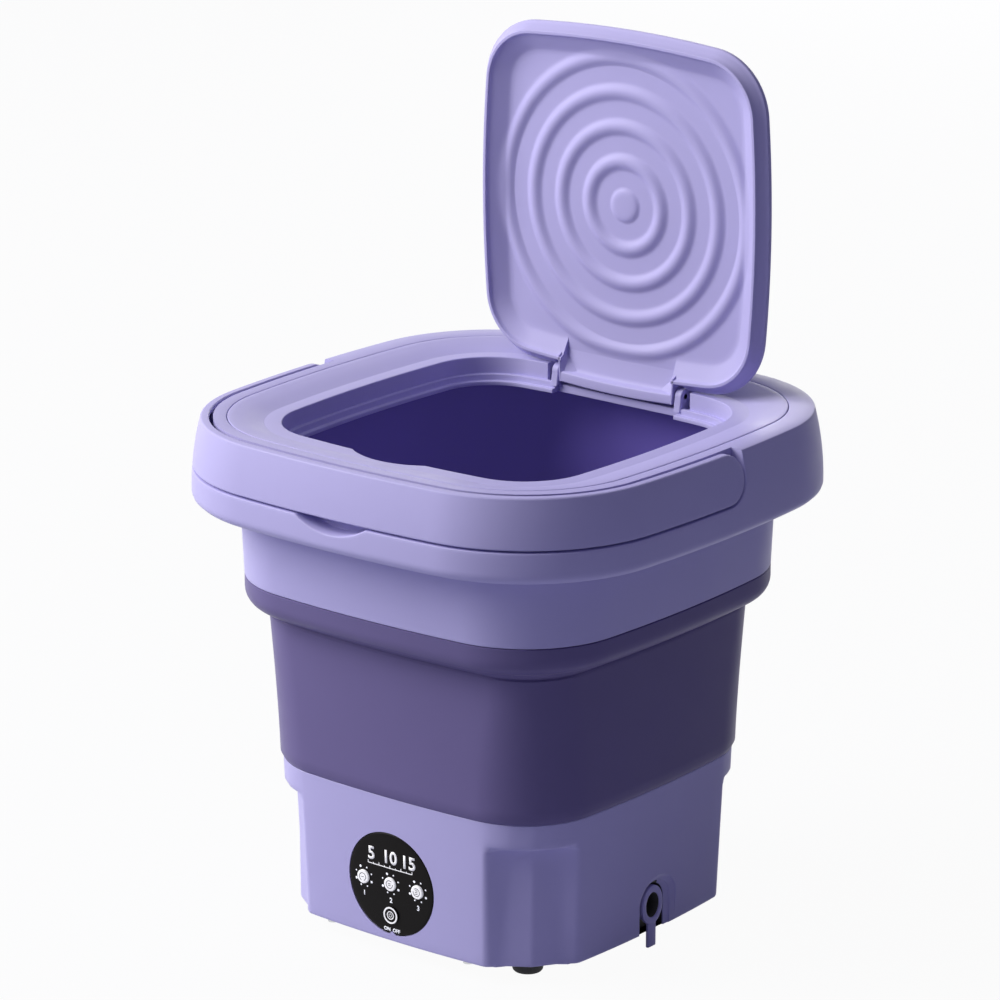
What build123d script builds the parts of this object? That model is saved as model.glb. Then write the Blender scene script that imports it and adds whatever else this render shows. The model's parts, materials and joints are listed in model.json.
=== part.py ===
from build123d import *
import os
from math import atan2, cos, hypot, pi, radians, sin, sqrt

# Foldable washing machine in millimetres, +Z up, standing on its feet at z = 0.
# The origin is in the middle under the base, the control panel faces -Y, the drain faces +X
# and the lid is hinged at the back. At rest the tub is pulled up and the lid stands open.

os.makedirs("parts", exist_ok=True)

# Outline of every ring: a rounded square whose four sides bow outwards
side_centre = 650  # from the middle to the centre of the opposite side's bow

# Widths, each half of a side's full width
base_half = 101  # base at its bottom edge
base_draft = 3.2  # how much wider the base is at its top
base_corner_radius = 43.9  # at the bottom edge
crease_step = 3  # sleeve's crease beyond the base's top
crease_corner_radius = 38.3
roll_reach = 15.4  # collar beyond the crease
collar_draft = 1.9
rim_overhang = 25.5  # rim beyond the collar
rim_corner_radius = 88

# Heights
foot_height = 10
base_height = 82.3
sleeve_wall_height = 83.7
roll_height = 17
sleeve_band_height = 7
collar_height = 43.5
rim_height = 45.6

# Walls
shell_wall = 2.4
tub_wall = 3
sleeve_wall = 2
rim_wall = 2.3
deck_wall = 2.2

# Clearances
flat_gap = 0.3  # between faces that lie on each other on different bodies
running_gap = 0.05  # radial, a pin or shaft in its bore
button_gap = 0.1  # radial, a button in its hole
press_gap = 0.02  # radial, pieces that are pushed together and stay

# Corner cut-back of the base, measured inwards from the base's half width
recess_width = 36
recess_bevel = 10
recess_inner = 28.3
recess_step = 16
recess_ridge = 21.5
flange_height = 12.3

# Feet
foot_radius = 8.5
foot_inset = 34
foot_stud_radius = 4
foot_stud_length = 4

# Tub bottom and its drive
drive_room = 49  # from the base's bottom edge to the underside of the tub's floor
dish_inset = 17  # from the base's half width to the dish's
dish_slope = 8.5  # the dish's wall leans out by this much up to its shoulder
dish_flare = 5  # height over which it widens to the sleeve
dish_corner_radius = 60
dish_lip = 8  # how far the dish stands up inside the sleeve
shaft_radius = 4
bush_radius = 8
bush_length = 10
housing_wall = 4
housing_clear = 3  # above the driven pulley
drive_clear = 1  # from the bottom cover to the nut
housing_flange_radius = 26
housing_flange = 2.5
seal_radius = 9
pulley_width = 8
driven_pulley_radius = 38
motor_pulley_radius = 9
groove_depth = 3
belt_width = 5
belt_thickness = 3
belt_centres = 58
motor_radius = 21
motor_length = 27
motor_shaft_radius = 2.5
bracket_plate = 3
nut_radius = 7.5
nut_height = 3.6
screw_radius = 1.5
screw_head_radius = 3
screw_head = 1.8
screw_length = 9

# Pulsator
pulsator_radius = 60
pulsator_gap = 3  # above the tub's floor
pulsator_plate = 3
pulsator_hub_radius = 15
pulsator_hub_rise = 9
vane_count = 4
vane_width = 7
vane_height = 13

# Control panel, centred on the front
panel_radius = 29.45
panel_height = 43.8
panel_plate = 2
panel_gap = 0.3
panel_depth = 9.5
housing_lap = 1.3  # of the housing's flange behind the wall
button_margin = 10.45  # from the panel's edge to the middle of an outer button
button_radius = 3.9
button_level = 0.2  # above the panel's middle
power_radius = 5
power_margin = 11.45  # from the panel's lowest point to the middle of the power button
button_proud = 0.8
lens_count = 8
lens_radius = 0.5
lens_circle = 5.3
board_plate = 1.6
switch_side = 6
switch_height = 2.4

# Drain
drain_height = 24.5
niche_half = 11
niche_arch = 26.6  # height of the arch's centre
niche_depth = 8
spout_radius = 9
spout_bore = 7.5
drain_inset = 13  # from the dish's half width to the drain hole
strainer_radius = 7
elbow_radius = 7.3
elbow_bore = 5.8
elbow_bend = 12
plug_wall = 1.1
plug_flange_half = (9, 11)
plug_flange = 4.5
strap_width = 7
strap_thickness = 2
strap_clear = 1  # above the floor

# Low-voltage socket in the back
socket_offset = 52
socket_height = 34
socket_radius = 6
socket_length = 14
socket_bore = 2.75
socket_pin = 1
lead_radius = 1.5
lead_bend_share = 0.45  # of a straight run that an arc at its end may use up

# Handle, the front half of the rim's band
handle_height = 27
handle_width = 9.5
handle_gap = 2.3  # from the handle to the rim behind it
handle_seam = 1.2  # under the handle
handle_end_gap = 0.5
handle_pivot_offset = 1
handle_wall = 2.4
handle_pin_radius = 3
handle_pin_reach = 6
handle_rib_count = 9

# Top cover and mouth
seam_inset = 19.2  # from the rim's half width to the seam round the cover
deck_span = 30.4  # from the seam to the mouth
mouth_shift = 1  # the mouth's middle lies this far towards the front
lip_drop = 4.1  # from the rim's top to the lip
lip_width = 9.6
ledge_one = 2.8
ledge_two = 5.8
ledge_one_depth = 9.4
ledge_two_depth = 12.8
mouth_depth = 15.2
finger_notch_half = 25
finger_notch_depth = 7.3

# Lid and its hinge
hinge_reach = 0.6  # the axis lies this far behind the mouth's edge
hinge_drop = 3.2  # from the lip down to the axis
lid_gap = 0.9  # between the closed lid's flange and the mouth
lid_step = 4.8  # from the flange's half width to the free edge's
lid_edge_drop = 5.1
lid_flange_rise = 1.2
lid_panel_rise = 3.1
lid_skin_rise = 5.9
lid_wall = 1.8
ridge_first = 24.7
ridge_pitch = 19.5
ridge_width = 10.5
ridge_height = 1.3
dome_radius = 9.9
tongue_half = 38.5
tongue_reach = 4.8
ear_inset = 1.5
ear_width = 5.4
ear_radius = 5
hinge_pin_radius = 1.5
pocket_clear = 4.6  # beside each ear
pocket_radius = 7.6

# Levels worked out from the heights
base_top = foot_height + base_height
crease_level = base_top + sleeve_wall_height
band_level = crease_level + roll_height
collar_bottom = band_level + sleeve_band_height
rim_bottom = collar_bottom + collar_height
rim_top = rim_bottom + rim_height
lip_level = rim_top - lip_drop
floor_bottom = foot_height + drive_room
floor_top = floor_bottom + tub_wall
cover_top = foot_height + shell_wall

# Half widths worked out from the steps
base_top_half = base_half + base_draft
crease_half = base_top_half + crease_step
collar_half = crease_half + roll_reach
collar_top_half = collar_half + collar_draft
rim_half = collar_top_half + rim_overhang
seam_half = rim_half - seam_inset
mouth_half = seam_half - deck_span
dish_half = base_half - dish_inset


def corner_centre(half, radius):
    """Distance of a corner arc's centre from both middle lines of a rounded square."""
    reach = side_centre + half - radius
    return (sqrt(2 * reach**2 - side_centre**2) - side_centre) / 2


base_corner = corner_centre(base_half, base_corner_radius)
crease_corner = corner_centre(crease_half, crease_corner_radius)
rim_corner = corner_centre(rim_half, rim_corner_radius)
dish_corner = corner_centre(dish_half, dish_corner_radius)


def draw_outline(half, corner):
    """Draw a closed rounded square into the open line, from the middle of its +X side."""
    bow = side_centre + half
    join = atan2(corner, corner + side_centre)
    radius = bow - hypot(corner + side_centre, corner)
    side_end = (bow * cos(join) - side_centre, bow * sin(join))
    side_middle = (bow * cos(join / 2) - side_centre, bow * sin(join / 2))
    diagonal = corner + radius * cos(radians(45))
    for quarter in range(4):
        start, middle, end, corner_middle, next_end, next_middle, last = (
            tuple(Vector(x, y).rotate(Axis.Z, 90 * quarter))
            for x, y in (
                (half, 0),
                side_middle,
                side_end,
                (diagonal, diagonal),
                side_end[::-1],
                side_middle[::-1],
                (0, half),
            )
        )
        ThreePointArc(start, middle, end)
        ThreePointArc(end, corner_middle, next_end)
        ThreePointArc(next_end, next_middle, last)


def carry_round(points, corner, frame=Plane.XY, mode=Mode.ADD):
    """Carry a closed section of (half width, height) points once round the outline."""
    with BuildLine(frame) as path:
        draw_outline(points[0][0], corner)
    with BuildSketch(Plane(frame.origin, x_dir=frame.x_dir, z_dir=-frame.y_dir)) as section:
        with BuildLine():
            Polyline(*points, close=True)
        make_face()
    sweep(sections=section.sketch, path=path.wire(), mode=mode)


def stack(levels, frame=Plane.XY, mode=Mode.ADD):
    """A solid that runs straight from each (height, half width, corner) outline to the next."""
    sections = []
    for height, half, corner in levels:
        with BuildSketch(frame.offset(height)) as section:
            with BuildLine():
                draw_outline(half, corner)
            make_face()
        sections.append(section.sketch)
    loft(sections=sections, ruled=True, mode=mode)


def block(low, high, mode=Mode.ADD):
    """A box from its lowest to its highest corner."""
    centre = [(a + b) / 2 for a, b in zip(low, high)]
    with Locations(tuple(centre)):
        Box(*[b - a for a, b in zip(low, high)], mode=mode)


def rod(start, end, radius, mode=Mode.ADD):
    """A round bar between two points."""
    way = Vector(*end) - Vector(*start)
    with BuildSketch(Plane(start, z_dir=way)) as section:
        Circle(radius)
    extrude(to_extrude=section.sketch, amount=way.length, mode=mode)


def keep(piece, name):
    """Label a finished piece and write it."""
    piece.part.label = name
    export_step(piece.part, f"parts/{name}.step")


def face_half(height):
    """The base's half width at a height."""
    return base_half + base_draft * (height - foot_height) / base_height


front = face_half(panel_height)
right = face_half(drain_height)
back = face_half(socket_height)
corners = [(x, y) for x in (-1, 1) for y in (-1, 1)]


# Base shell: drafted walls, corners cut back under a flange, panel opening, drain niche


def recess_prisms(grow, top, mode):
    """The four corner cut-backs, grown outwards, as upright prisms up to a level."""
    below = foot_height - 5
    beyond = base_half + 20
    bevel_slope = (recess_width - recess_inner) / recess_bevel
    bevel_start = base_half - recess_width - bevel_slope * (beyond - base_half)
    inner = base_half - recess_inner
    ridge = base_half - recess_ridge
    points = [
        (bevel_start, beyond),
        (inner, base_half - recess_bevel),
        (inner, base_half - recess_step),
        (ridge, ridge),
        (base_half - recess_step, inner),
        (base_half - recess_bevel, inner),
        (beyond, bevel_start),
        (beyond, beyond),
    ]
    for turn in range(4):
        with BuildSketch(Plane.XY.offset(below).rotated((0, 0, 90 * turn))) as plan:
            with BuildLine():
                Polyline(*points, close=True)
            make_face()
            if grow:
                offset(amount=grow, kind=Kind.INTERSECTION)
        extrude(to_extrude=plan.sketch, amount=top - below, mode=mode)


def arch(plane, half, centre_height, bottom, depth, mode=Mode.ADD):
    """A round-topped block drawn on a plane whose own Y is the height."""
    with BuildSketch(plane) as shape:
        with Locations((0, centre_height)):
            Circle(half)
        with Locations((0, (centre_height + bottom) / 2)):
            Rectangle(2 * half, centre_height - bottom)
    extrude(to_extrude=shape.sketch, amount=depth, mode=mode)


cover_screw_offset = 48
cover_screw_inset = 6.5
cover_screw_places = [
    (x * cover_screw_offset, y * (base_half - cover_screw_inset)) for x, y in corners
]
post_radius = 4
post_top = 22
recess_top = base_top - flange_height
niche_wall = 2
outwards = Plane((0, 0, 0), x_dir=(0, 1, 0), z_dir=(1, 0, 0))

with BuildPart() as cavity:
    inner_levels = [
        (foot_height, base_half - shell_wall, base_corner),
        (base_top, base_top_half - shell_wall, base_corner),
    ]
    stack(inner_levels)
    recess_prisms(shell_wall, recess_top + shell_wall, Mode.SUBTRACT)
    arch(
        outwards.offset(right - niche_depth - niche_wall),
        niche_half + niche_wall,
        niche_arch,
        0,
        niche_depth + niche_wall + shell_wall,
        Mode.SUBTRACT,
    )
    for x, y in cover_screw_places:
        rod((x, y, foot_height), (x, y, post_top), post_radius, Mode.SUBTRACT)

with BuildPart() as base_shell:
    stack([(foot_height, base_half, base_corner), (base_top, base_top_half, base_corner)])
    recess_prisms(0, recess_top, Mode.SUBTRACT)
    add(cavity.part, mode=Mode.SUBTRACT)
    panel_hole = panel_radius + panel_gap
    rod((0, -front - 5, panel_height), (0, -front + 10, panel_height), panel_hole, Mode.SUBTRACT)
    arch(outwards.offset(right - niche_depth), niche_half, niche_arch, 0, niche_depth + 5, Mode.SUBTRACT)
    nozzle_hole = spout_radius + flat_gap
    rod((right - 20, 0, drain_height), (right, 0, drain_height), nozzle_hole, Mode.SUBTRACT)
    socket_hole = socket_radius + flat_gap
    socket_ends = [(socket_offset, back + reach, socket_height) for reach in (-5, 5)]
    rod(*socket_ends, socket_hole, Mode.SUBTRACT)
    for x, y in cover_screw_places:
        block((x - 5, y - 5, foot_height - 1), (x + 5, y + 5, cover_top + flat_gap), Mode.SUBTRACT)
        rod((x, y, foot_height), (x, y, foot_height + screw_length + 2), screw_radius, Mode.SUBTRACT)
keep(base_shell, "base_shell")


# Bottom cover with its screws and the four feet

foot_places = [(x * (base_half - foot_inset), y * (base_half - foot_inset)) for x, y in corners]

with BuildPart() as bottom_cover:
    cover_half = base_half - shell_wall - flat_gap
    stack([(foot_height, cover_half, base_corner), (cover_top, cover_half, base_corner)])
    recess_prisms(shell_wall + flat_gap, cover_top + 1, Mode.SUBTRACT)
    notch_low = (right - niche_depth - niche_wall - flat_gap, -niche_half - niche_wall - flat_gap, 0)
    notch_high = (right + 5, niche_half + niche_wall + flat_gap, cover_top + 1)
    block(notch_low, notch_high, Mode.SUBTRACT)
    for x, y in foot_places:
        rod((x, y, 0), (x, y, cover_top + 1), foot_stud_radius + press_gap, Mode.SUBTRACT)
    for x, y in cover_screw_places:
        rod((x, y, 0), (x, y, cover_top + 1), screw_radius + press_gap, Mode.SUBTRACT)
keep(bottom_cover, "bottom_cover")


def screw(seat, way, length):
    """A screw whose head's underside lies at the seat and whose shank runs along the way."""
    seat = Vector(*seat)
    way = Vector(*way)
    rod(seat, seat + way * length, screw_radius)
    rod(seat, seat - way * screw_head, screw_head_radius)


with BuildPart() as cover_screws:
    for x, y in cover_screw_places:
        screw((x, y, foot_height), (0, 0, 1), screw_length)
keep(cover_screws, "cover_screws")

foot_names = {(-1, -1): "front_left", (1, -1): "front_right", (-1, 1): "back_left", (1, 1): "back_right"}
for (side, end), name in foot_names.items():
    x = side * (base_half - foot_inset)
    y = end * (base_half - foot_inset)
    with BuildPart() as foot:
        rod((x, y, 0), (x, y, foot_height), foot_radius)
        chamfer(foot.edges().group_by(Axis.Z)[0], 0.8)
        rod((x, y, foot_height), (x, y, foot_height + foot_stud_length), foot_stud_radius)
    keep(foot, f"foot_{name}")


# Tub bottom: a dish with the drain hole, the seal's seat and blind screw holes

dish_shoulder = recess_top + shell_wall + flat_gap
dish_wall_half = base_top_half - shell_wall - flat_gap
dish_top = base_top + dish_lip
drain_offset = dish_half - drain_inset
flange_screw_circle = (housing_flange_radius + bush_radius + housing_wall) / 2
flange_screw_reach = flange_screw_circle * cos(pi / 4)
flange_screw_places = [(x * flange_screw_reach, y * flange_screw_reach) for x, y in corners]
bracket_screw_reach = motor_radius + 6
bracket_screw_places = [(-belt_centres + x * 10, y * bracket_screw_reach) for x, y in corners]
blind_depth = tub_wall - 0.8

with BuildPart() as tub_bottom:
    stack([
        (floor_bottom, dish_half, dish_corner),
        (dish_shoulder, dish_half + dish_slope, dish_corner),
        (dish_shoulder + dish_flare, dish_wall_half, base_corner),
        (dish_top, dish_wall_half, base_corner),
    ])
    stack([
        (floor_top, dish_half - tub_wall, dish_corner),
        (dish_shoulder + 1, dish_half + dish_slope - tub_wall, dish_corner),
        (dish_shoulder + dish_flare + 1, dish_wall_half - tub_wall, base_corner),
        (dish_top + 1, dish_wall_half - tub_wall, base_corner),
    ], mode=Mode.SUBTRACT)
    rod((0, 0, floor_bottom - 1), (0, 0, floor_top + 1), seal_radius + press_gap, Mode.SUBTRACT)
    strainer_hole = strainer_radius + press_gap
    rod((drain_offset, 0, floor_bottom - 1), (drain_offset, 0, floor_top + 1), strainer_hole, Mode.SUBTRACT)
    for x, y in flange_screw_places + bracket_screw_places:
        blind_end = (x, y, floor_bottom + blind_depth)
        rod((x, y, floor_bottom - 1), blind_end, screw_radius + press_gap, Mode.SUBTRACT)
keep(tub_bottom, "tub_bottom")


# Drive: shaft in two bushes, driven by a belt from the motor at its left

nut_bottom = cover_top + drive_clear
pulley_bottom = nut_bottom + nut_height
pulley_top = pulley_bottom + pulley_width
housing_bottom = pulley_top + housing_clear
flange_bottom = floor_bottom - housing_flange
pulsator_bottom = floor_top + pulsator_gap
shaft_top = pulsator_bottom + pulsator_plate + pulsator_hub_rise - 5

with BuildPart() as bearing_housing:
    rod((0, 0, housing_bottom), (0, 0, floor_bottom), bush_radius + housing_wall)
    rod((0, 0, flange_bottom), (0, 0, floor_bottom), housing_flange_radius)
    rod((0, 0, housing_bottom - 1), (0, 0, floor_bottom + 1), bush_radius + press_gap, Mode.SUBTRACT)
    for x, y in flange_screw_places:
        rod((x, y, flange_bottom - 1), (x, y, floor_bottom + 1), screw_radius + press_gap, Mode.SUBTRACT)
keep(bearing_housing, "bearing_housing")

with BuildPart() as housing_screws:
    for x, y in flange_screw_places:
        screw((x, y, flange_bottom), (0, 0, 1), housing_flange + blind_depth)
keep(housing_screws, "housing_screws")

for name, bottom in (("lower_bush", housing_bottom), ("upper_bush", floor_bottom - bush_length)):
    with BuildPart() as bush:
        rod((0, 0, bottom), (0, 0, bottom + bush_length), bush_radius)
        rod((0, 0, bottom - 1), (0, 0, bottom + bush_length + 1), shaft_radius + running_gap, Mode.SUBTRACT)
    keep(bush, name)

with BuildPart() as shaft_seal:
    rod((0, 0, floor_bottom), (0, 0, floor_top + 1), seal_radius)
    rod((0, 0, floor_bottom - 1), (0, 0, floor_top + 2), shaft_radius + running_gap, Mode.SUBTRACT)
keep(shaft_seal, "shaft_seal")

cap_screw_length = 6

with BuildPart() as pulsator_shaft:
    rod((0, 0, nut_bottom), (0, 0, shaft_top), shaft_radius)
    rod((0, 0, shaft_top - cap_screw_length), (0, 0, shaft_top + 1), screw_radius + press_gap, Mode.SUBTRACT)
keep(pulsator_shaft, "pulsator_shaft")


def pulley(centre, radius, bore):
    """A flat-belt pulley with a groove between two flanges."""
    flank = (pulley_width - belt_width) / 2 - flat_gap
    with BuildSketch(Plane((centre, 0, 0), x_dir=(1, 0, 0), z_dir=(0, -1, 0))) as section:
        with BuildLine():
            Polyline(
                (bore, pulley_bottom),
                (radius, pulley_bottom),
                (radius, pulley_bottom + flank),
                (radius - groove_depth, pulley_bottom + flank),
                (radius - groove_depth, pulley_top - flank),
                (radius, pulley_top - flank),
                (radius, pulley_top),
                (bore, pulley_top),
                close=True,
            )
        make_face()
    revolve(profiles=section.sketch, axis=Axis((centre, 0, 0), (0, 0, 1)))


with BuildPart() as driven_pulley:
    pulley(0, driven_pulley_radius, shaft_radius + press_gap)
keep(driven_pulley, "driven_pulley")

with BuildPart() as pulley_nut:
    with BuildSketch(Plane.XY.offset(nut_bottom)):
        RegularPolygon(nut_radius, 6)
        Circle(shaft_radius + press_gap, mode=Mode.SUBTRACT)
    extrude(amount=nut_height)
keep(pulley_nut, "pulley_nut")

with BuildPart() as motor_pulley:
    pulley(-belt_centres, motor_pulley_radius, motor_shaft_radius + press_gap)
keep(motor_pulley, "motor_pulley")

with BuildPart() as drive_belt:
    belt_bottom = pulley_bottom + (pulley_width - belt_width) / 2
    wheels = ((0, driven_pulley_radius), (-belt_centres, motor_pulley_radius))
    for grow, mode in ((belt_thickness, Mode.ADD), (0, Mode.SUBTRACT)):
        with BuildSketch(Plane.XY.offset(belt_bottom)) as loop:
            for centre, radius in wheels:
                with Locations((centre, 0)):
                    Circle(radius - groove_depth + flat_gap + grow)
            make_hull()
        extrude(to_extrude=loop.sketch, amount=belt_width, mode=mode)
keep(drive_belt, "drive_belt")

motor_top = floor_bottom - bracket_plate
motor_bottom = motor_top - motor_length
motor_shaft_length = 4  # inside the motor
skirt_height = 12

with BuildPart() as motor_bracket:
    bracket_width = 2 * motor_radius + 2
    bracket_length = 2 * bracket_screw_reach + 12
    with BuildSketch(Plane.XY.offset(motor_top)):
        with Locations((-belt_centres, 0)):
            RectangleRounded(bracket_width, bracket_length, 5)
        for x, y in bracket_screw_places:
            with Locations((x, y)):
                Circle(screw_radius + press_gap, mode=Mode.SUBTRACT)
    extrude(amount=bracket_plate)
    with BuildSketch(Plane.XY.offset(motor_top - skirt_height)):
        with Locations((-belt_centres, 0)):
            Circle(motor_radius + 2)
            Circle(motor_radius + flat_gap, mode=Mode.SUBTRACT)
    extrude(amount=skirt_height)
keep(motor_bracket, "motor_bracket")

with BuildPart() as motor_screws:
    for x, y in bracket_screw_places:
        screw((x, y, motor_top), (0, 0, 1), bracket_plate + blind_depth)
keep(motor_screws, "motor_screws")

with BuildPart() as motor_body:
    motor_foot = (-belt_centres, 0, motor_bottom)
    rod(motor_foot, (-belt_centres, 0, motor_top), motor_radius)
    rod((-belt_centres, 0, motor_bottom - 1.5), motor_foot, motor_shaft_radius + 3)
    bore_top = (-belt_centres, 0, motor_bottom + motor_shaft_length + 0.5)
    rod((-belt_centres, 0, motor_bottom - 5), bore_top, motor_shaft_radius + running_gap, Mode.SUBTRACT)
keep(motor_body, "motor_body")

with BuildPart() as motor_shaft:
    shaft_end = (-belt_centres, 0, motor_bottom + motor_shaft_length)
    rod((-belt_centres, 0, pulley_bottom - 0.5), shaft_end, motor_shaft_radius)
keep(motor_shaft, "motor_shaft")


# Pulsator: a shallow cone with vanes, its screw and the cap over it

cap_radius = 6
cap_height = 2
hub_top = pulsator_bottom + pulsator_plate + pulsator_hub_rise
plate_top = pulsator_bottom + pulsator_plate
seat_level = shaft_top + 2

with BuildPart() as pulsator:
    with BuildSketch(Plane.XZ) as section:
        with BuildLine():
            Polyline(
                (0, pulsator_bottom),
                (pulsator_radius, pulsator_bottom),
                (pulsator_radius, plate_top),
                (pulsator_hub_radius, plate_top + pulsator_hub_rise / 2),
                (pulsator_hub_radius - 3, hub_top),
                (0, hub_top),
                close=True,
            )
        make_face()
    revolve(axis=Axis.Z)
    for turn in range(vane_count):
        vane_plane = Plane.XZ.rotated((0, 0, 360 * turn / vane_count + 45)).offset(-vane_width / 2)
        with BuildSketch(vane_plane):
            with BuildLine():
                Polyline(
                    (cap_radius + 4, pulsator_bottom + 1),
                    (pulsator_radius - 4, pulsator_bottom + 1),
                    (pulsator_radius - 10, plate_top + 4),
                    (pulsator_hub_radius + 4, plate_top + vane_height),
                    (cap_radius + 4, plate_top + vane_height - 4),
                    close=True,
                )
            make_face()
        extrude(amount=vane_width)
    rod((0, 0, pulsator_bottom - 1), (0, 0, shaft_top), shaft_radius + press_gap, Mode.SUBTRACT)
    rod((0, 0, shaft_top), (0, 0, seat_level), screw_radius + press_gap, Mode.SUBTRACT)
    rod((0, 0, seat_level), (0, 0, hub_top + 20), cap_radius + press_gap, Mode.SUBTRACT)
keep(pulsator, "pulsator")

with BuildPart() as pulsator_screw:
    screw((0, 0, seat_level), (0, 0, -1), seat_level - shaft_top + cap_screw_length - 1)
keep(pulsator_screw, "pulsator_screw")

with BuildPart() as pulsator_cap:
    rod((0, 0, hub_top - 1), (0, 0, hub_top - 1 + cap_height), cap_radius)
    chamfer(pulsator_cap.edges().group_by(Axis.Z)[-1], 0.6)
keep(pulsator_cap, "pulsator_cap")


# Control panel in the front wall, with the board behind it

button_height = panel_height + button_level
button_pitch = panel_radius - button_margin
power_height = panel_height - panel_radius + power_margin
button_places = [(x * button_pitch, button_height, button_radius) for x in (-1, 0, 1)]
all_buttons = button_places + [(0, power_height, power_radius)]
lens_places = [
    (x + lens_circle * cos(turn), height + lens_circle * sin(turn))
    for x, height, _ in button_places
    for turn in (2 * pi * (k + 0.5) / lens_count for k in range(lens_count))
]
lens_length = panel_plate + 0.5
housing_radius = panel_radius
housing_inner = housing_radius - 1.8
housing_back = panel_depth - 1.5
board_front = housing_back - board_plate
switch_front = board_front - switch_height


def inward(x, depth, height):
    """A point behind the front face, by its depth into the machine."""
    return (x, depth - front, height)


with BuildPart() as control_panel:
    rod(inward(0, 0, panel_height), inward(0, panel_plate, panel_height), panel_radius)
    for x, height, radius in all_buttons:
        rod(inward(x, -1, height), inward(x, panel_plate + 1, height), radius + button_gap, Mode.SUBTRACT)
    for x, height in lens_places:
        rod(inward(x, -1, height), inward(x, panel_plate + 1, height), lens_radius + press_gap, Mode.SUBTRACT)
keep(control_panel, "control_panel")

with BuildPart() as indicator_lenses:
    for x, height in lens_places:
        rod(inward(x, 0, height), inward(x, lens_length, height), lens_radius)
keep(indicator_lenses, "indicator_lenses")

with BuildPart() as panel_housing:
    rod(inward(0, panel_plate, panel_height), inward(0, panel_depth, panel_height), housing_radius)
    flange_front = shell_wall + 2.2
    flange_radius = panel_radius + panel_gap + housing_lap
    rod(inward(0, flange_front, panel_height), inward(0, flange_front + 1.5, panel_height), flange_radius)
    rod(inward(0, 0, panel_height), inward(0, housing_back, panel_height), housing_inner, Mode.SUBTRACT)
keep(panel_housing, "panel_housing")

with BuildPart() as control_board:
    rod(inward(0, board_front, panel_height), inward(0, housing_back, panel_height), housing_inner - 0.5)
keep(control_board, "control_board")

with BuildPart() as tact_switches:
    for x, height, _ in all_buttons:
        low = inward(x - switch_side / 2, switch_front, height - switch_side / 2)
        block(low, inward(x + switch_side / 2, board_front, height + switch_side / 2))
keep(tact_switches, "tact_switches")

button_names = ("button_left", "button_middle", "button_right", "power_button")
for name, (x, height, radius) in zip(button_names, all_buttons):
    with BuildPart() as button:
        rod(inward(x, -button_proud, height), inward(x, panel_plate + 0.7, height), radius)
        chamfer(button.edges().group_by(Axis.Y)[0], 0.3)
        rod(inward(x, panel_plate + 0.1, height), inward(x, panel_plate + 0.7, height), radius + 0.7)
    keep(button, name)


# Drain: strainer in the tub's floor, elbow, spout through the wall, plug with its pull strap

with BuildPart() as drain_strainer:
    rod((drain_offset, 0, floor_bottom), (drain_offset, 0, floor_top), strainer_radius)
    rod((drain_offset, 0, floor_bottom - 1), (drain_offset, 0, floor_top - 1.2), elbow_bore, Mode.SUBTRACT)
    with Locations((drain_offset, 0, floor_top)):
        with PolarLocations(3.2, 6):
            Cylinder(1, 6, mode=Mode.SUBTRACT)
keep(drain_strainer, "drain_strainer")

elbow_end = right - niche_depth - 5
spout_start = right - niche_depth - 9
plug_inner_end = elbow_end + 0.5

with BuildPart() as drain_elbow:
    with BuildLine() as elbow_path:
        FilletPolyline(
            (drain_offset, 0, floor_bottom),
            (drain_offset, 0, drain_height),
            (elbow_end, 0, drain_height),
            radius=elbow_bend,
        )
    for radius, mode in ((elbow_radius, Mode.ADD), (elbow_bore, Mode.SUBTRACT)):
        with BuildSketch(Plane((drain_offset, 0, floor_bottom), z_dir=(0, 0, -1))) as section:
            Circle(radius)
        sweep(sections=section.sketch, path=elbow_path.wire(), mode=mode)
keep(drain_elbow, "drain_elbow")

with BuildPart() as drain_spout:
    spout_end = right - 3.5
    rod((spout_start, 0, drain_height), (spout_end, 0, drain_height), spout_radius)
    rod((spout_start - 1, 0, drain_height), (spout_end + 1, 0, drain_height), spout_bore, Mode.SUBTRACT)
keep(drain_spout, "drain_spout")

plug_radius = spout_bore - button_gap
flange_start = spout_end + flat_gap
flange_end = flange_start + plug_flange

with BuildPart() as drain_plug:
    rod((plug_inner_end, 0, drain_height), (flange_start + 1, 0, drain_height), plug_radius)
    with BuildSketch(outwards.offset(flange_start)):
        with Locations((0, drain_height)):
            Ellipse(*plug_flange_half)
    extrude(amount=plug_flange)
    hollow = plug_radius - plug_wall
    hollow_start = (plug_inner_end + plug_wall, 0, drain_height)
    rod(hollow_start, (flange_end + 1, 0, drain_height), hollow, Mode.SUBTRACT)
    strap_low = (flange_end - strap_thickness, -strap_width / 2, strap_clear)
    strap_high = (flange_end, strap_width / 2, drain_height - plug_flange_half[1] + 2)
    block(strap_low, strap_high)
keep(drain_plug, "drain_plug")


# Low-voltage socket in the back and the leads inside


def lead(points):
    """A round lead of straight runs joined by arcs as large as its runs allow."""
    points = [Vector(*point) for point in points]
    radii = []
    for before, corner, after in zip(points, points[1:], points[2:]):
        turn = (corner - before).get_angle(after - corner)
        shorter = min((corner - before).length, (after - corner).length)
        radii.append(lead_bend_share * shorter * cos(radians(turn / 2)) / sin(radians(turn / 2)))
    with BuildLine() as path:
        FilletPolyline(*points, radius=radii)
    with BuildSketch(Plane(points[0], z_dir=points[1] - points[0])) as section:
        Circle(lead_radius)
    sweep(sections=section.sketch, path=path.wire())


socket_back = back + 1.5

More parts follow.
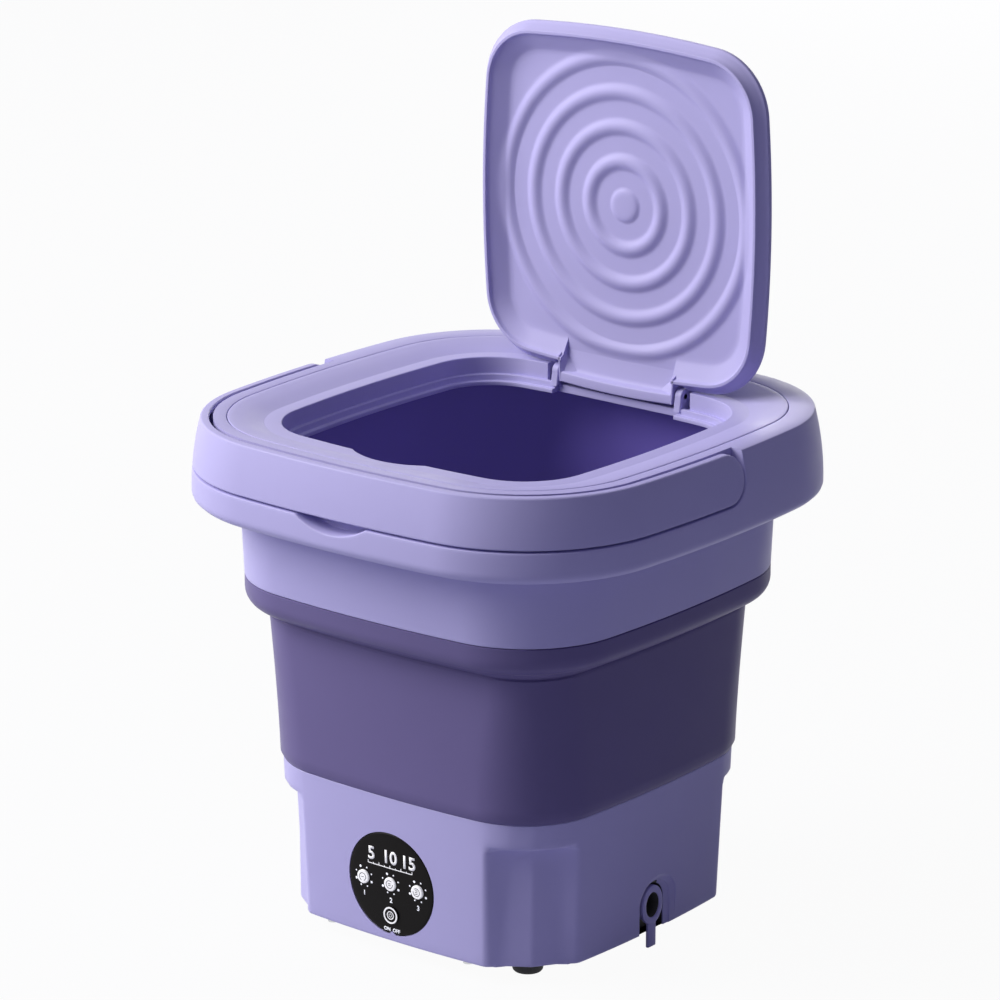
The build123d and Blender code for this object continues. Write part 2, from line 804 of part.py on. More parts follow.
with BuildPart() as dc_socket:
    socket_face = (socket_offset, socket_back, socket_height)
    rod((socket_offset, back - socket_length, socket_height), socket_face, socket_radius)
    rod((socket_offset, back + 0.1, socket_height), socket_face, socket_radius + 1.5)
    bore_end = (socket_offset, back - socket_length + 4, socket_height)
    rod(bore_end, (socket_offset, socket_back + 1, socket_height), socket_bore, Mode.SUBTRACT)
    rod(bore_end, (socket_offset, socket_back - 1, socket_height), socket_pin)
keep(dc_socket, "dc_socket")

lead_end = inward(0, panel_depth, panel_height)[1]
with BuildPart() as power_lead:
    lead([
        (socket_offset, back - socket_length, socket_height),
        (socket_offset, back - socket_length - 14, socket_height),
        (socket_offset + 1, 38, socket_height - 3),
        (socket_offset - 1, -2, socket_height - 3),
        (socket_offset - 2, -40, socket_height - 2),
        (socket_offset - 12, lead_end + 25, socket_height),
        (18, lead_end + 16, panel_height - 8),
        (18, lead_end, panel_height - 8),
    ])
keep(power_lead, "power_lead")

with BuildPart() as motor_lead:
    lead([
        (-belt_centres, -motor_radius - press_gap, motor_bottom + 7),
        (-belt_centres, -motor_radius - 15, motor_bottom + 7),
        (-belt_centres + 4, -motor_radius - 34, motor_bottom + 8),
        (-33, lead_end + 24, motor_bottom + 8),
        (-18, lead_end + 14, motor_bottom + 7),
        (-18, lead_end, motor_bottom + 7),
    ])
keep(motor_lead, "motor_lead")


# Sleeve: the soft folding wall between base and collar, with the roll under the collar

roll_radius = 10


def sleeve_levels(inset):
    """Outlines up the sleeve, for its outside (inset 0) or for its inside."""
    roll_middle = collar_half - roll_radius
    levels = [
        (crease_level + inset / 2, crease_half - inset, crease_corner),
    ]
    for turn in (90, 60, 30, 0):
        reach = (roll_radius - inset) * cos(radians(turn))
        drop = (roll_radius - inset) * sin(radians(turn))
        levels.append((band_level - drop, roll_middle + reach, rim_corner))
    return levels


with BuildPart() as sleeve:
    sleeve_foot = base_top_half + 0.1
    sleeve_top = collar_bottom - flat_gap
    stack([
        (base_top, sleeve_foot, base_corner),
        (base_top + 3.2, sleeve_foot + 1.6, base_corner),
        *sleeve_levels(0),
        (sleeve_top, collar_half, rim_corner),
    ])
    inner_foot = dish_wall_half + flat_gap
    stack([
        (base_top, inner_foot, base_corner),
        (dish_top + 1, inner_foot, base_corner),
        (dish_top + 5, sleeve_foot + 1.6 - sleeve_wall, base_corner),
        *sleeve_levels(sleeve_wall),
        (sleeve_top, collar_half - sleeve_wall, rim_corner),
    ], mode=Mode.SUBTRACT)
keep(sleeve, "sleeve")


# Upper frame: the collar, the tub's upper wall and the flange that carries the rim

web_bottom = rim_bottom + 3.5
web_top = web_bottom + deck_wall
carrier_bottom = web_top + 0.2
carrier_top = carrier_bottom + deck_wall
carrier_half = collar_top_half + 7.5
deck_seat = rim_top - 4.9

with BuildPart() as upper_frame:
    carry_round([
        (collar_half, collar_bottom),
        (collar_top_half, rim_bottom),
        (collar_top_half + 0.7, deck_seat),
        (collar_top_half + 0.7 - deck_wall, deck_seat),
        (collar_top_half - deck_wall, rim_bottom),
        (collar_half - deck_wall, collar_bottom),
    ], rim_corner)
    carry_round([
        (collar_top_half - 1, carrier_bottom),
        (carrier_half, carrier_bottom),
        (carrier_half, carrier_top),
        (collar_top_half - 1, carrier_top),
    ], rim_corner)
    rim_screw_places = []
    for turn in range(4):
        for offset_along in (-60, 60):
            screw_half = collar_top_half + 4
            reach = sqrt((side_centre + screw_half) ** 2 - offset_along**2) - side_centre
            place = Vector(reach, offset_along).rotate(Axis.Z, 90 * turn)
            rim_screw_places.append((place.X, place.Y))
    for x, y in rim_screw_places:
        rod((x, y, carrier_bottom - 1), (x, y, carrier_top + 1), screw_radius + press_gap, Mode.SUBTRACT)
keep(upper_frame, "upper_frame")

with BuildPart() as rim_screws:
    for x, y in rim_screw_places:
        screw((x, y, web_bottom), (0, 0, 1), carrier_top - web_bottom)
keep(rim_screws, "rim_screws")


# Rim shell: the band round the top, stepped back in front to take the handle

widest_level = rim_bottom + 18.2
shoulder_level = rim_bottom + 31.5
bend_level = rim_top - 5
rim_profile = [
    (rim_half - 2.8, rim_bottom),
    (rim_half + 0.3, rim_bottom + 5.5),
    (rim_half, widest_level),
    (rim_half - 1.5, shoulder_level),
    (rim_half - 3.5, bend_level),
    (rim_half - 5.2, rim_top),
]
handle_bottom = rim_top - handle_height
seat_top = handle_bottom - handle_seam
handle_inner = rim_half - handle_width
groove_inner = handle_inner - handle_gap
end_overrun = 0.02  # the round end is this much over half the handle's height, to cut cleanly
handle_end_radius = handle_height / 2 + end_overrun
pivot_height = rim_top - handle_height / 2
pivot = (handle_pivot_offset, pivot_height)
groove_end_radius = handle_end_radius + handle_end_gap
groove_end = handle_pivot_offset + groove_end_radius
far = rim_half + 20
scoop_half = 24
scoop_depth = 6.9
scoop_radius = (scoop_half**2 + scoop_depth**2) / (2 * scoop_depth)


def band(low, inner, inset):
    """A solid ring that fills the rim's band above a level, inside its outer face."""
    upper = [(half - inset, height) for half, height in rim_profile if height > low]
    upper[-1] = (upper[-1][0], rim_top - inset / 2)
    carry_round([(inner, low), (rim_half - inset, low), *upper, (inner, rim_top - inset / 2)], rim_corner)


with BuildPart() as groove_backing:
    band(seat_top - rim_wall, groove_inner - rim_wall, rim_wall / 2)
    block((-far, -far, 0), (far, groove_end + rim_wall, 2 * rim_top), Mode.INTERSECT)

with BuildPart() as scoop_backing:
    band(seat_top - scoop_depth - rim_wall, groove_inner, rim_wall / 2)
    block((-scoop_half - 4, -far, 0), (scoop_half + 4, 0, seat_top), Mode.INTERSECT)

with BuildPart() as groove:
    carry_round([
        (groove_inner, seat_top),
        (far, seat_top),
        (far, rim_top + 20),
        (groove_inner, rim_top + 20),
    ], rim_corner)
    block((-2 * far, -2 * far, 0), (2 * far, handle_pivot_offset, 2 * rim_top), Mode.INTERSECT)
    for side in (-1, 1):
        rod((side * groove_inner, *pivot), (side * far, *pivot), groove_end_radius)
        low_x, high_x = sorted((side * groove_inner, side * far))
        block((low_x, handle_pivot_offset, pivot_height), (high_x, groove_end, rim_top + 20))

with BuildPart() as rim_shell:
    inner_profile = [(half - rim_wall, height) for half, height in rim_profile[:-1]]
    carry_round([
        *rim_profile,
        (seam_half + 0.2, rim_top),
        (seam_half + 0.2, rim_top - rim_wall),
        (rim_half - 7.2, rim_top - rim_wall),
        *inner_profile[::-1],
    ], rim_corner)
    carry_round([
        (collar_top_half + 1.1, web_bottom),
        (rim_half - 2, web_bottom),
        (rim_half - 2, web_top),
        (collar_top_half + 1.1, web_top),
    ], rim_corner)
    add(groove_backing.part)
    add(scoop_backing.part)
    add(groove.part, mode=Mode.SUBTRACT)
    scoop_centre = seat_top - scoop_depth + scoop_radius
    rod((0, -far, scoop_centre), (0, -groove_inner - 1.5, scoop_centre), scoop_radius, Mode.SUBTRACT)
    for side in (-1, 1):
        pin_start = (side * (seam_half + 2), *pivot)
        rod(pin_start, (side * far, *pivot), handle_pin_radius + press_gap, Mode.SUBTRACT)
    for x, y in rim_screw_places:
        rod((x, y, web_bottom - 1), (x, y, web_top + 1), screw_radius + press_gap, Mode.SUBTRACT)
keep(rim_shell, "rim_shell")


# Handle: a channel round the front half, with ribs, round ends and blind pin holes

with BuildPart() as handle_band:
    band(handle_bottom, handle_inner, 0)

with BuildPart() as handle_ribs:
    with Locations((0, 0, rim_top - handle_height / 2)):
        with PolarLocations(rim_half, handle_rib_count, 200, 140, endpoint=True):
            Box(rim_half, 1.8, handle_height)
    add(handle_band.part, mode=Mode.INTERSECT)

with BuildPart() as handle_ends:
    for side in (-1, 1):
        rod((side * seam_half, *pivot), (side * far, *pivot), handle_end_radius)
    add(handle_band.part, mode=Mode.INTERSECT)

with BuildPart() as handle:
    upper = [point for point in rim_profile if point[1] > handle_bottom]
    pocket_roof = rim_top - handle_wall
    carry_round([
        (rim_half, handle_bottom),
        *upper,
        (handle_inner, rim_top),
        (handle_inner, pocket_roof),
        (rim_half - 5.2 - handle_wall, pocket_roof),
        *[(half - handle_wall, height) for half, height in upper[:-1]][::-1],
        (rim_half - handle_wall, handle_bottom + handle_wall),
        (handle_inner, handle_bottom + handle_wall),
        (handle_inner, handle_bottom),
    ], rim_corner)
    block((-2 * far, -2 * far, 0), (2 * far, handle_pivot_offset, 2 * rim_top), Mode.INTERSECT)
    add(handle_ribs.part)
    add(handle_ends.part)
    for side in (-1, 1):
        bore_end = (side * (handle_inner + handle_pin_reach + 0.3), *pivot)
        rod((side * seam_half, *pivot), bore_end, handle_pin_radius + running_gap, Mode.SUBTRACT)
keep(handle, "handle")

with BuildPart() as handle_pins:
    for side in (-1, 1):
        head_face = side * (groove_inner - rim_wall - 2 * press_gap)
        rod((head_face, *pivot), (side * (handle_inner + handle_pin_reach), *pivot), handle_pin_radius)
        rod((head_face - side * screw_head, *pivot), (head_face, *pivot), handle_pin_radius + 2)
keep(handle_pins, "handle_pins")


# Top cover: dished from the seam down to the lip, stepped mouth, finger notch, hinge pocket

mouth_centre = Plane((0, -mouth_shift, 0))
hinge_back = mouth_half + hinge_reach
hinge_y = hinge_back - mouth_shift
hinge_z = lip_level - hinge_drop
lip_half = mouth_half + lip_width
ledge_one_level = lip_level - ledge_one_depth
ledge_two_level = lip_level - ledge_two_depth
mouth_bottom = lip_level - mouth_depth
cover_edge = seam_half - 0.2
notch_radius = (finger_notch_half**2 + finger_notch_depth**2) / (2 * finger_notch_depth)
notch_y = notch_radius - mouth_half - mouth_shift - finger_notch_depth
ear_start = tongue_half + ear_inset
ear_end = ear_start + ear_width
pocket_half = ear_end + pocket_clear

with BuildPart() as notch_backing:
    rod((0, notch_y, ledge_one_level - deck_wall), (0, notch_y, lip_level - 0.1), notch_radius + deck_wall)
    half = finger_notch_half + 5
    block((-half, -far, 0), (half, -mouth_half - mouth_shift - 0.8, 2 * rim_top), Mode.INTERSECT)

with BuildPart() as finger_notch:
    rod((0, notch_y, ledge_one_level), (0, notch_y, rim_top + 10), notch_radius)
    block((-half, -far, 0), (half, -mouth_half - mouth_shift + 0.8, 2 * rim_top), Mode.INTERSECT)

with BuildPart() as top_cover:
    carry_round([
        (cover_edge, rim_top),
        (seam_half - 3.8, rim_top - 0.9),
        (seam_half - 8.8, rim_top - 2.5),
        (seam_half - 14.8, rim_top - 3.6),
        (lip_half, lip_level),
        (lip_half - 5, lip_level),
        (lip_half - 5, lip_level - deck_wall),
        (lip_half + 2, lip_level - deck_wall),
        (seam_half - 8.3, deck_seat),
        (seam_half - 5.1, deck_seat),
        (seam_half - 2.8, rim_top - 2.8),
        (cover_edge, rim_top - 2.2),
    ], rim_corner)
    carry_round([
        (lip_half - 4, lip_level),
        (mouth_half + 1, lip_level),
        (mouth_half, lip_level - 1),
        (mouth_half, ledge_one_level),
        (mouth_half - ledge_one, ledge_one_level),
        (mouth_half - ledge_one, ledge_two_level),
        (mouth_half - ledge_two, ledge_two_level),
        (mouth_half - ledge_two, mouth_bottom),
        (mouth_half - 1, mouth_bottom),
        (mouth_half + deck_wall, ledge_one_level - deck_wall),
        (mouth_half + deck_wall, lip_level - deck_wall),
        (lip_half - 4, lip_level - deck_wall),
    ], rim_corner, frame=mouth_centre)
    add(notch_backing.part)
    add(finger_notch.part, mode=Mode.SUBTRACT)
    pocket_back = hinge_y + pocket_radius
    pocket_floor = hinge_z - pocket_radius
    mouth_back = mouth_half - mouth_shift
    block(
        (-pocket_half - deck_wall, mouth_back - 1.5, pocket_floor - deck_wall),
        (pocket_half + deck_wall, pocket_back + deck_wall, lip_level - 0.1),
    )
    block((-pocket_half, 0, pocket_floor), (pocket_half, pocket_back, rim_top), Mode.SUBTRACT)
    ledge_gap = tongue_half + 4.5
    block((-ledge_gap, 0, mouth_bottom - 1), (ledge_gap, mouth_back - 1.5, rim_top), Mode.SUBTRACT)
    for side in (-1, 1):
        low_x, high_x = sorted((side * ear_start, side * ear_end))
        block((low_x, hinge_y - ear_radius, pocket_floor - 0.5), (high_x, hinge_y + ear_radius, hinge_z))
        rod((low_x, hinge_y, hinge_z), (high_x, hinge_y, hinge_z), ear_radius)
        ear_bore = hinge_pin_radius + press_gap
        rod((low_x - 1, hinge_y, hinge_z), (high_x + 1, hinge_y, hinge_z), ear_bore, Mode.SUBTRACT)
keep(top_cover, "top_cover")


# Lid, standing open: a shallow pan with ridges inside, its tongue and the hinge pins

lid_frame = Plane((0, hinge_y, hinge_z + hinge_back), x_dir=(1, 0, 0), z_dir=(0, 1, 0))
lid_middle = Axis(lid_frame.origin, lid_frame.z_dir)
flange_half = mouth_half - lid_gap
edge_half = flange_half - lid_step
edge_inner = edge_half - lid_wall
plate_half = edge_inner - 3.5
ridge_count = int((plate_half - ridge_width / 2 - ridge_first) / ridge_pitch) + 1


def bump(middle, width):
    """Revolve a raised round ridge about the lid's middle, from its distance and width."""
    top = lid_panel_rise - ridge_height
    base = lid_panel_rise + 0.2
    low, high = max(middle - width / 2, 0), middle + width / 2
    with BuildSketch(Plane(lid_frame.origin, x_dir=lid_frame.x_dir, z_dir=-lid_frame.y_dir)) as section:
        with BuildLine():
            if middle:
                ThreePointArc((low, lid_panel_rise), (middle, top), (high, lid_panel_rise))
            else:
                RadiusArc((0, top), (high, lid_panel_rise), -(high**2 + ridge_height**2) / (2 * ridge_height))
            inner_end = (low, lid_panel_rise if middle else top)
            Polyline((high, lid_panel_rise), (high, base), (low, base), inner_end)
        make_face()
    revolve(profiles=section.sketch, axis=lid_middle)


with BuildPart() as lid:
    carry_round([
        (edge_half, -lid_edge_drop),
        (edge_half + 0.9, -3),
        (flange_half - 1.3, lid_flange_rise - 1),
        (flange_half, lid_flange_rise),
        (flange_half, lid_flange_rise + 2.4),
        (flange_half - 2, lid_skin_rise),
        (plate_half - 2, lid_skin_rise),
        (plate_half - 2, lid_panel_rise),
        (edge_inner - 2, lid_panel_rise),
        (edge_inner - 0.5, lid_panel_rise - 1.5),
        (edge_inner, -lid_edge_drop),
    ], rim_corner, frame=lid_frame)
    stack([
        (lid_panel_rise, plate_half - 1, rim_corner),
        (lid_skin_rise, plate_half - 1, rim_corner),
    ], frame=lid_frame)
    bump(0, 2 * dome_radius)
    for ring in range(ridge_count):
        bump(ridge_first + ring * ridge_pitch, ridge_width)
    trim = hinge_drop + 0.6
    block((-far, 0, 0), (far, far + 50, hinge_z + trim), Mode.SUBTRACT)
    for side in (-1, 1):
        low_x, high_x = sorted((side * tongue_half, side * (ear_end + 1.6)))
        block((low_x, 0, 0), (high_x, far + 50, hinge_z + trim + 2.8), Mode.SUBTRACT)
    block(
        (-tongue_half, hinge_y - lid_edge_drop, hinge_z - tongue_reach),
        (tongue_half, hinge_y + 3, hinge_z + hinge_back - edge_inner - 0.5),
    )
    for side in (-1, 1):
        bore = hinge_pin_radius + running_gap
        low_x, high_x = sorted((side * (tongue_half - 6), side * (tongue_half + 1)))
        rod((low_x, hinge_y, hinge_z), (high_x, hinge_y, hinge_z), bore, Mode.SUBTRACT)
keep(lid, "lid")

with BuildPart() as hinge_pins:
    for side in (-1, 1):
        low_x, high_x = sorted((side * (tongue_half - 5.5), side * ear_end))
        rod((low_x, hinge_y, hinge_z), (high_x, hinge_y, hinge_z), hinge_pin_radius)
keep(hinge_pins, "hinge_pins")
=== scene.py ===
"""Foldable washing machine, standing open, as surfaces worked out with numpy.

Sizes are in millimetres and become metres as they go into a mesh. The panel faces -Y, the drain
faces +X and the lid's hinge is at +Y.
"""

import json
import logging
from dataclasses import dataclass, field
from enum import Enum
from math import atan2, cos, pi, radians, sin, sqrt

import bmesh
import bpy
import numpy as np
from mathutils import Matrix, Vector


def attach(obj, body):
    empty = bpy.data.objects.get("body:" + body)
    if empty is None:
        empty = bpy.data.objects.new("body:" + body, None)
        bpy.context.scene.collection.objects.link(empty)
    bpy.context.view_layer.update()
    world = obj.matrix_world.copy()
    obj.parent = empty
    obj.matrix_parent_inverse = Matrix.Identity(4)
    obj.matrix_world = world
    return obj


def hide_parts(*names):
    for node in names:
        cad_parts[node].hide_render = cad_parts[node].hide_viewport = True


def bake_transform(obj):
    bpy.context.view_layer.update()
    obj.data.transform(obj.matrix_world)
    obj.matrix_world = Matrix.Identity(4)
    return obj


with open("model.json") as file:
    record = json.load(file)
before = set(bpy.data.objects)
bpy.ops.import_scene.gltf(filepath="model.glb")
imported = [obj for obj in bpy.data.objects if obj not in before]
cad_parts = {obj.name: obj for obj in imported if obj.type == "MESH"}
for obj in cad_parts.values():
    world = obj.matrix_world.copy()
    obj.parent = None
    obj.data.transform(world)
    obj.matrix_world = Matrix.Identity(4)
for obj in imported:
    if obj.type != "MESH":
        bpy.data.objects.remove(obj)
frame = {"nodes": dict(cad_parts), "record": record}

logging.basicConfig(level=logging.INFO, format="%(message)s")
log = logging.getLogger("washer")

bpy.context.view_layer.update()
MM = 0.001
BOW = 650.0  # from the middle to the centre of the opposite side's bow
SIDE_SHARE = 0.28  # share of a quarter's columns that lie on each half side
RIM_CORNER = 59.5
BASE_CORNER = 54.96
LONGEST_ROUND = 0.45  # share of an edge that the rounding at one of its ends may take
STEP = 2e-7  # turn from an upright step to the column on either side of it
FRONT, BACK = 0.75, 0.25  # turns of the middle of the front and of the back
# The rim's inner edge, as (half, height) counted from the seam and the top.
SEAM_EDGE = np.array([(0.8, 0.0), (0.3, -0.15), (0.05, -0.45), (0.0, -1.0)])
Grid = np.ndarray
Patches = list[tuple[Grid, bool]]


# Outlines and profiles


def stacked(*axes: Grid | float) -> Grid:
    """Points from an array for each coordinate, spread to one common shape."""
    return np.stack(np.broadcast_arrays(*axes), -1)


def outline(turn: Grid, half: Grid, corner: Grid | float) -> tuple[Grid, Grid]:
    """Points on a rounded square whose sides bow outwards.

    A side is an arc of radius BOW + half about a point BOW beyond the middle, a corner is the arc
    about (corner, corner) that meets both sides smoothly.

    Args:
        turn: place along the outline, 0 at the middle of +X and 0.25 at the middle of +Y.
        half: half of the width across the middle of two sides.
        corner: distance of a corner arc's centre from both middle lines.

    Returns:
        The x and the y of each point.
    """
    turn, half, corner = np.broadcast_arrays(turn, half, corner)
    quarter = np.floor(turn * 4 + 1e-9)
    along = turn * 4 - quarter
    join = np.arctan2(corner, corner + BOW)
    middle = join + (pi / 2 - 2 * join) * (along - SIDE_SHARE) / (1 - 2 * SIDE_SHARE)
    first, last = along < SIDE_SHARE, along > 1 - SIDE_SHARE
    before, after = join * along / SIDE_SHARE, pi / 2 - join * (1 - along) / SIDE_SHARE
    angle = np.where(first, before, np.where(last, after, middle))
    side = first | last
    radius = half + BOW - np.where(side, 0, np.hypot(corner + BOW, corner))
    x = np.where(first, -BOW, np.where(last, 0, corner)) + radius * np.cos(angle)
    y = np.where(last, -BOW, np.where(first, 0, corner)) + radius * np.sin(angle)
    spin = quarter * pi / 2
    return x * np.cos(spin) - y * np.sin(spin), x * np.sin(spin) + y * np.cos(spin)


def side_turn(offset: Grid | float, half: Grid | float, corner: float = RIM_CORNER) -> Grid:
    """Turn, counted from a side's middle, of the point `offset` away from its middle line."""
    reach = np.arcsin(np.asarray(offset) / (BOW + np.asarray(half)))
    return 0.25 * SIDE_SHARE * reach / atan2(corner, corner + BOW)


def evenly(count: int) -> Grid:
    """Turns of `count` columns once round."""
    return np.arange(count) / count


def rounded(corners: Grid, radii: list[float], steps: int = 4) -> Grid:
    """Round a profile's corners.

    Each corner becomes the curve (1-t)^2 S + 2t(1-t) P + t^2 E, where S and E lie a radius before
    and after the corner P, or LONGEST_ROUND of the edge where that is shorter.

    Args:
        corners: rows of (half, height), or of (half, height) for each column.
        radii: one for each corner, 0 to keep it sharp.
        steps: pieces of each curve.

    Returns:
        Rows of points, with a second axis of one column or of all columns.
    """
    corners = np.asarray(corners, float)
    corners = corners[:, None, :] if corners.ndim == 2 else corners
    t = np.linspace(0, 1, steps + 1)[:, None, None]
    rows = []
    for i, radius in enumerate(radii):
        here = corners[i]
        if radius <= 0:
            rows.append(here[None])
            continue
        back, ahead = corners[i - 1] - here, corners[(i + 1) % len(corners)] - here
        start, end = (
            here + edge * np.minimum(LONGEST_ROUND, radius / np.maximum(
                np.linalg.norm(edge, axis=-1, keepdims=True), 1e-9))
            for edge in (back, ahead)
        )
        rows.append((1 - t) ** 2 * start + 2 * t * (1 - t) * here + t**2 * end)
    return np.concatenate(rows)


def table(rows: list[tuple[Grid | float, Grid | float, float]], steps: int = 4) -> Grid:
    """Round a profile given as a table.

    Args:
        rows: half, height and radius of each corner; half and height may differ by column.
        steps: pieces of each rounding.

    Returns:
        Rows of points, with a second axis of one column or of all columns.
    """
    columns = np.broadcast_shapes(*(np.shape(value) for row in rows for value in row))
    corners = np.stack([np.broadcast_to(stacked(half, height), (*columns, 2))
                        for half, height, _ in rows])
    return rounded(corners, [radius for *_, radius in rows], steps)


def carry(profile: Grid, turn: Grid, corner: Grid | float = RIM_CORNER,
          shift: Grid | float = 0.0) -> Grid:
    """Carry a profile of (half, height) round the outline.

    Args:
        profile: rows, columns (or one), then half and height.
        turn: one turn for each column, or for each row and column.
        corner: corner centre of the outline, or one for each row.
        shift: how far each row is moved along Y.

    Returns:
        A grid of points, rows by columns by three.
    """
    turn = np.atleast_2d(turn)
    half, height, turn = np.broadcast_arrays(profile[..., 0], profile[..., 1], turn)
    x, y = outline(turn, half, corner)
    return np.stack([x, y + shift, height], -1)


def lathe(profile: list[tuple[float, float]], centre: tuple[float, float, float], axis: str = "z",
          columns: int = 48) -> Grid:
    """Turn a profile of (radius, distance along the axis) about an axis through a centre.

    Args:
        profile: radius and distance along the axis, row by row.
        centre: where the axis and distance 0 lie.
        axis: x, y or z.
        columns: points round the axis.

    Returns:
        A grid of points whose columns close round.
    """
    rows = np.asarray(profile, float)
    angle = 2 * pi * np.arange(columns) / columns
    across = rows[:, :1] * np.cos(angle), rows[:, :1] * np.sin(angle)
    along = np.broadcast_to(rows[:, 1:], across[0].shape)
    order = {"z": (*across, along), "x": (along, *across), "y": (across[0], along, across[1])}
    return np.stack(order[axis], -1) + np.array(centre)


def border(grid: Grid) -> Grid:
    """The points round the edge of a grid, as one closed row."""
    return np.concatenate([grid[0], grid[1:-1, -1], grid[-1, ::-1], grid[1:-1, 0][::-1]])[None]


def box_grid(low: Grid, high: Grid, edge: float = 0.4, steps: int = 3) -> Grid:
    """A box with rounded edges: a rounded rectangle that shrinks by edge (1 - cos) to its ends.

    Args:
        low: lowest corner.
        high: highest corner.
        edge: radius of the edges.
        steps: pieces of each rounding.

    Returns:
        A grid whose columns close round and whose first and last rows are points.
    """
    low, high = np.asarray(low, float), np.asarray(high, float)
    middle, half = (low + high) / 2, (high - low) / 2
    signs = np.array([(1, 1), (-1, 1), (-1, -1), (1, -1)])[None, :, None]
    angle = pi / 2 * (np.arange(4)[:, None] + np.linspace(0, 1, steps + 1))
    curve = np.stack([np.cos(angle), np.sin(angle)], -1)[None]
    lift = np.concatenate([np.linspace(-pi / 2, 0, steps + 1), np.linspace(0, pi / 2, steps + 1)])
    side = np.repeat([-1, 1], steps + 1)
    plan = signs * (half[:2] - edge) + curve * (edge * np.cos(lift))[:, None, None, None]
    plan = plan.reshape(len(lift), -1, 2)
    plan = np.concatenate([plan[:1] * 0, plan, plan[-1:] * 0])
    level = side * (half[2] - edge) + edge * np.sin(lift)
    level = np.concatenate([level[:1], level, level[-1:]])
    height = np.broadcast_to(level[:, None, None], (*plan.shape[:2], 1))
    return np.concatenate([plan, height], -1) + middle


# Meshes


def make(name: str, patches: Grid | Patches, sharp: float = 32.0, bridge: bool = False,
         merge: float = 0.004) -> bpy.types.Object:
    """Join grids of points into one mesh with its seams merged and its faces outwards.

    Args:
        name: the piece's name.
        patches: each a grid of points, and whether its last column joins its first; or one grid
            whose columns close round.
        sharp: angle between faces, in degrees, above which an edge stays sharp.
        bridge: whether two open ends that are left are joined to each other.
        merge: distance below which points are the same.

    Returns:
        The new object, at the origin.
    """
    patches = [(patches, True)] if isinstance(patches, np.ndarray) else patches
    points, faces, start = [], [], 0
    for grid, closed in patches:
        index = start + np.arange(grid.shape[0] * grid.shape[1]).reshape(grid.shape[:2])
        index = np.concatenate([index, index[:, :1]], axis=1) if closed else index
        quads = np.stack([index[:-1, :-1], index[:-1, 1:], index[1:, 1:], index[1:, :-1]], -1)
        points.append(grid.reshape(-1, 3))
        faces.append(quads.reshape(-1, 4))
        start += grid.shape[0] * grid.shape[1]
    mesh = bpy.data.meshes.new(name)
    mesh.from_pydata((np.concatenate(points) * MM).tolist(), [], np.concatenate(faces).tolist())
    bm = bmesh.new()
    bm.from_mesh(mesh)
    bmesh.ops.remove_doubles(bm, verts=bm.verts, dist=merge * MM)
    bmesh.ops.dissolve_degenerate(bm, edges=bm.edges, dist=merge * MM * 0.5)
    edges = [e for e in bm.edges if e.is_boundary]
    if bridge and edges:
        bmesh.ops.bridge_loops(bm, edges=edges)
        edges = [e for e in bm.edges if e.is_boundary]
    bmesh.ops.recalc_face_normals(bm, faces=bm.faces)
    bm.to_mesh(mesh)
    bm.free()
    mesh.shade_smooth()
    mesh.set_sharp_from_angle(angle=radians(sharp))
    obj = bpy.data.objects.new(name, mesh)
    bpy.context.scene.collection.objects.link(obj)
    log.info("%s: %d faces, %d open edges", name, len(mesh.polygons), len(edges))
    return obj


def cut(obj: bpy.types.Object, cutters: list[bpy.types.Object], sharp: float = 32.0) -> None:
    """Take the cutters' space out of a piece, for good, and remove the cutters.

    Args:
        obj: the piece.
        cutters: closed meshes whose space is taken out.
        sharp: angle between faces, in degrees, above which an edge stays sharp.
    """
    for cutter in cutters:
        tool = obj.modifiers.new("cut", "BOOLEAN")
        tool.operation, tool.solver, tool.object = "DIFFERENCE", "EXACT", cutter
    done = bpy.data.meshes.new_from_object(obj.evaluated_get(bpy.context.evaluated_depsgraph_get()))
    obj.modifiers.clear()
    obj.data = done
    done.shade_smooth()
    done.set_sharp_from_angle(angle=radians(sharp))
    for cutter in cutters:
        bpy.data.objects.remove(cutter)


def place(obj: bpy.types.Object, finish: "Finish", body: str, *nodes: str) -> bpy.types.Object:
    """Dress a piece, let it ride on a body and stand for CAD nodes.

    Args:
        obj: the piece.
        finish: its finish, whose material it takes.
        body: the body that it rides on.
        nodes: CAD nodes that it replaces, if any.

    Returns:
        The same piece.
    """
    obj.data.materials.clear()
    obj.data.materials.append(finish.material())
    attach(obj, body)
    if nodes:
        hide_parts(*nodes)
    return obj


def face_middles(obj: bpy.types.Object) -> tuple[Grid, Grid]:
    """Read a piece's faces.

    Args:
        obj: the piece.

    Returns:
        The faces' middles in millimetres, and their normals.
    """
    both = np.empty((2, len(obj.data.polygons) * 3))
    for values, kind in zip(both, ("center", "normal")):
        obj.data.polygons.foreach_get(kind, values)
    return both[0].reshape(-1, 3) / MM, both[1].reshape(-1, 3)


def line(obj: bpy.types.Object, finish: "Finish", chosen: Grid) -> None:
    """Give the chosen faces of a placed piece a second finish."""
    obj.data.materials.append(finish.material())
    obj.data.polygons.foreach_set("material_index", chosen.astype(np.int32))


def looks_in(obj: bpy.types.Object) -> Grid:
    """Whether each face looks towards the object's upright axis."""
    middles, normals = face_middles(obj)
    return (middles[:, :2] * normals[:, :2]).sum(axis=1) < 0


# Finishes


def add_node(tree: bpy.types.NodeTree, kind: str, **values: object) -> bpy.types.Node:
    """Add a shader node.

    Args:
        tree: where it goes.
        kind: its type, without the leading "ShaderNode".
        values: what its inputs hold or are linked to. A name is the input's own, with "_" for a
            blank, or "i" and its number. data_type and operation are settings of the node.

    Returns:
        The new node.
    """
    node = tree.nodes.new("ShaderNode" + kind)
    for name in ("data_type", "operation"):
        if name in values:
            setattr(node, name, values.pop(name))
    fill(tree, node, **values)
    return node


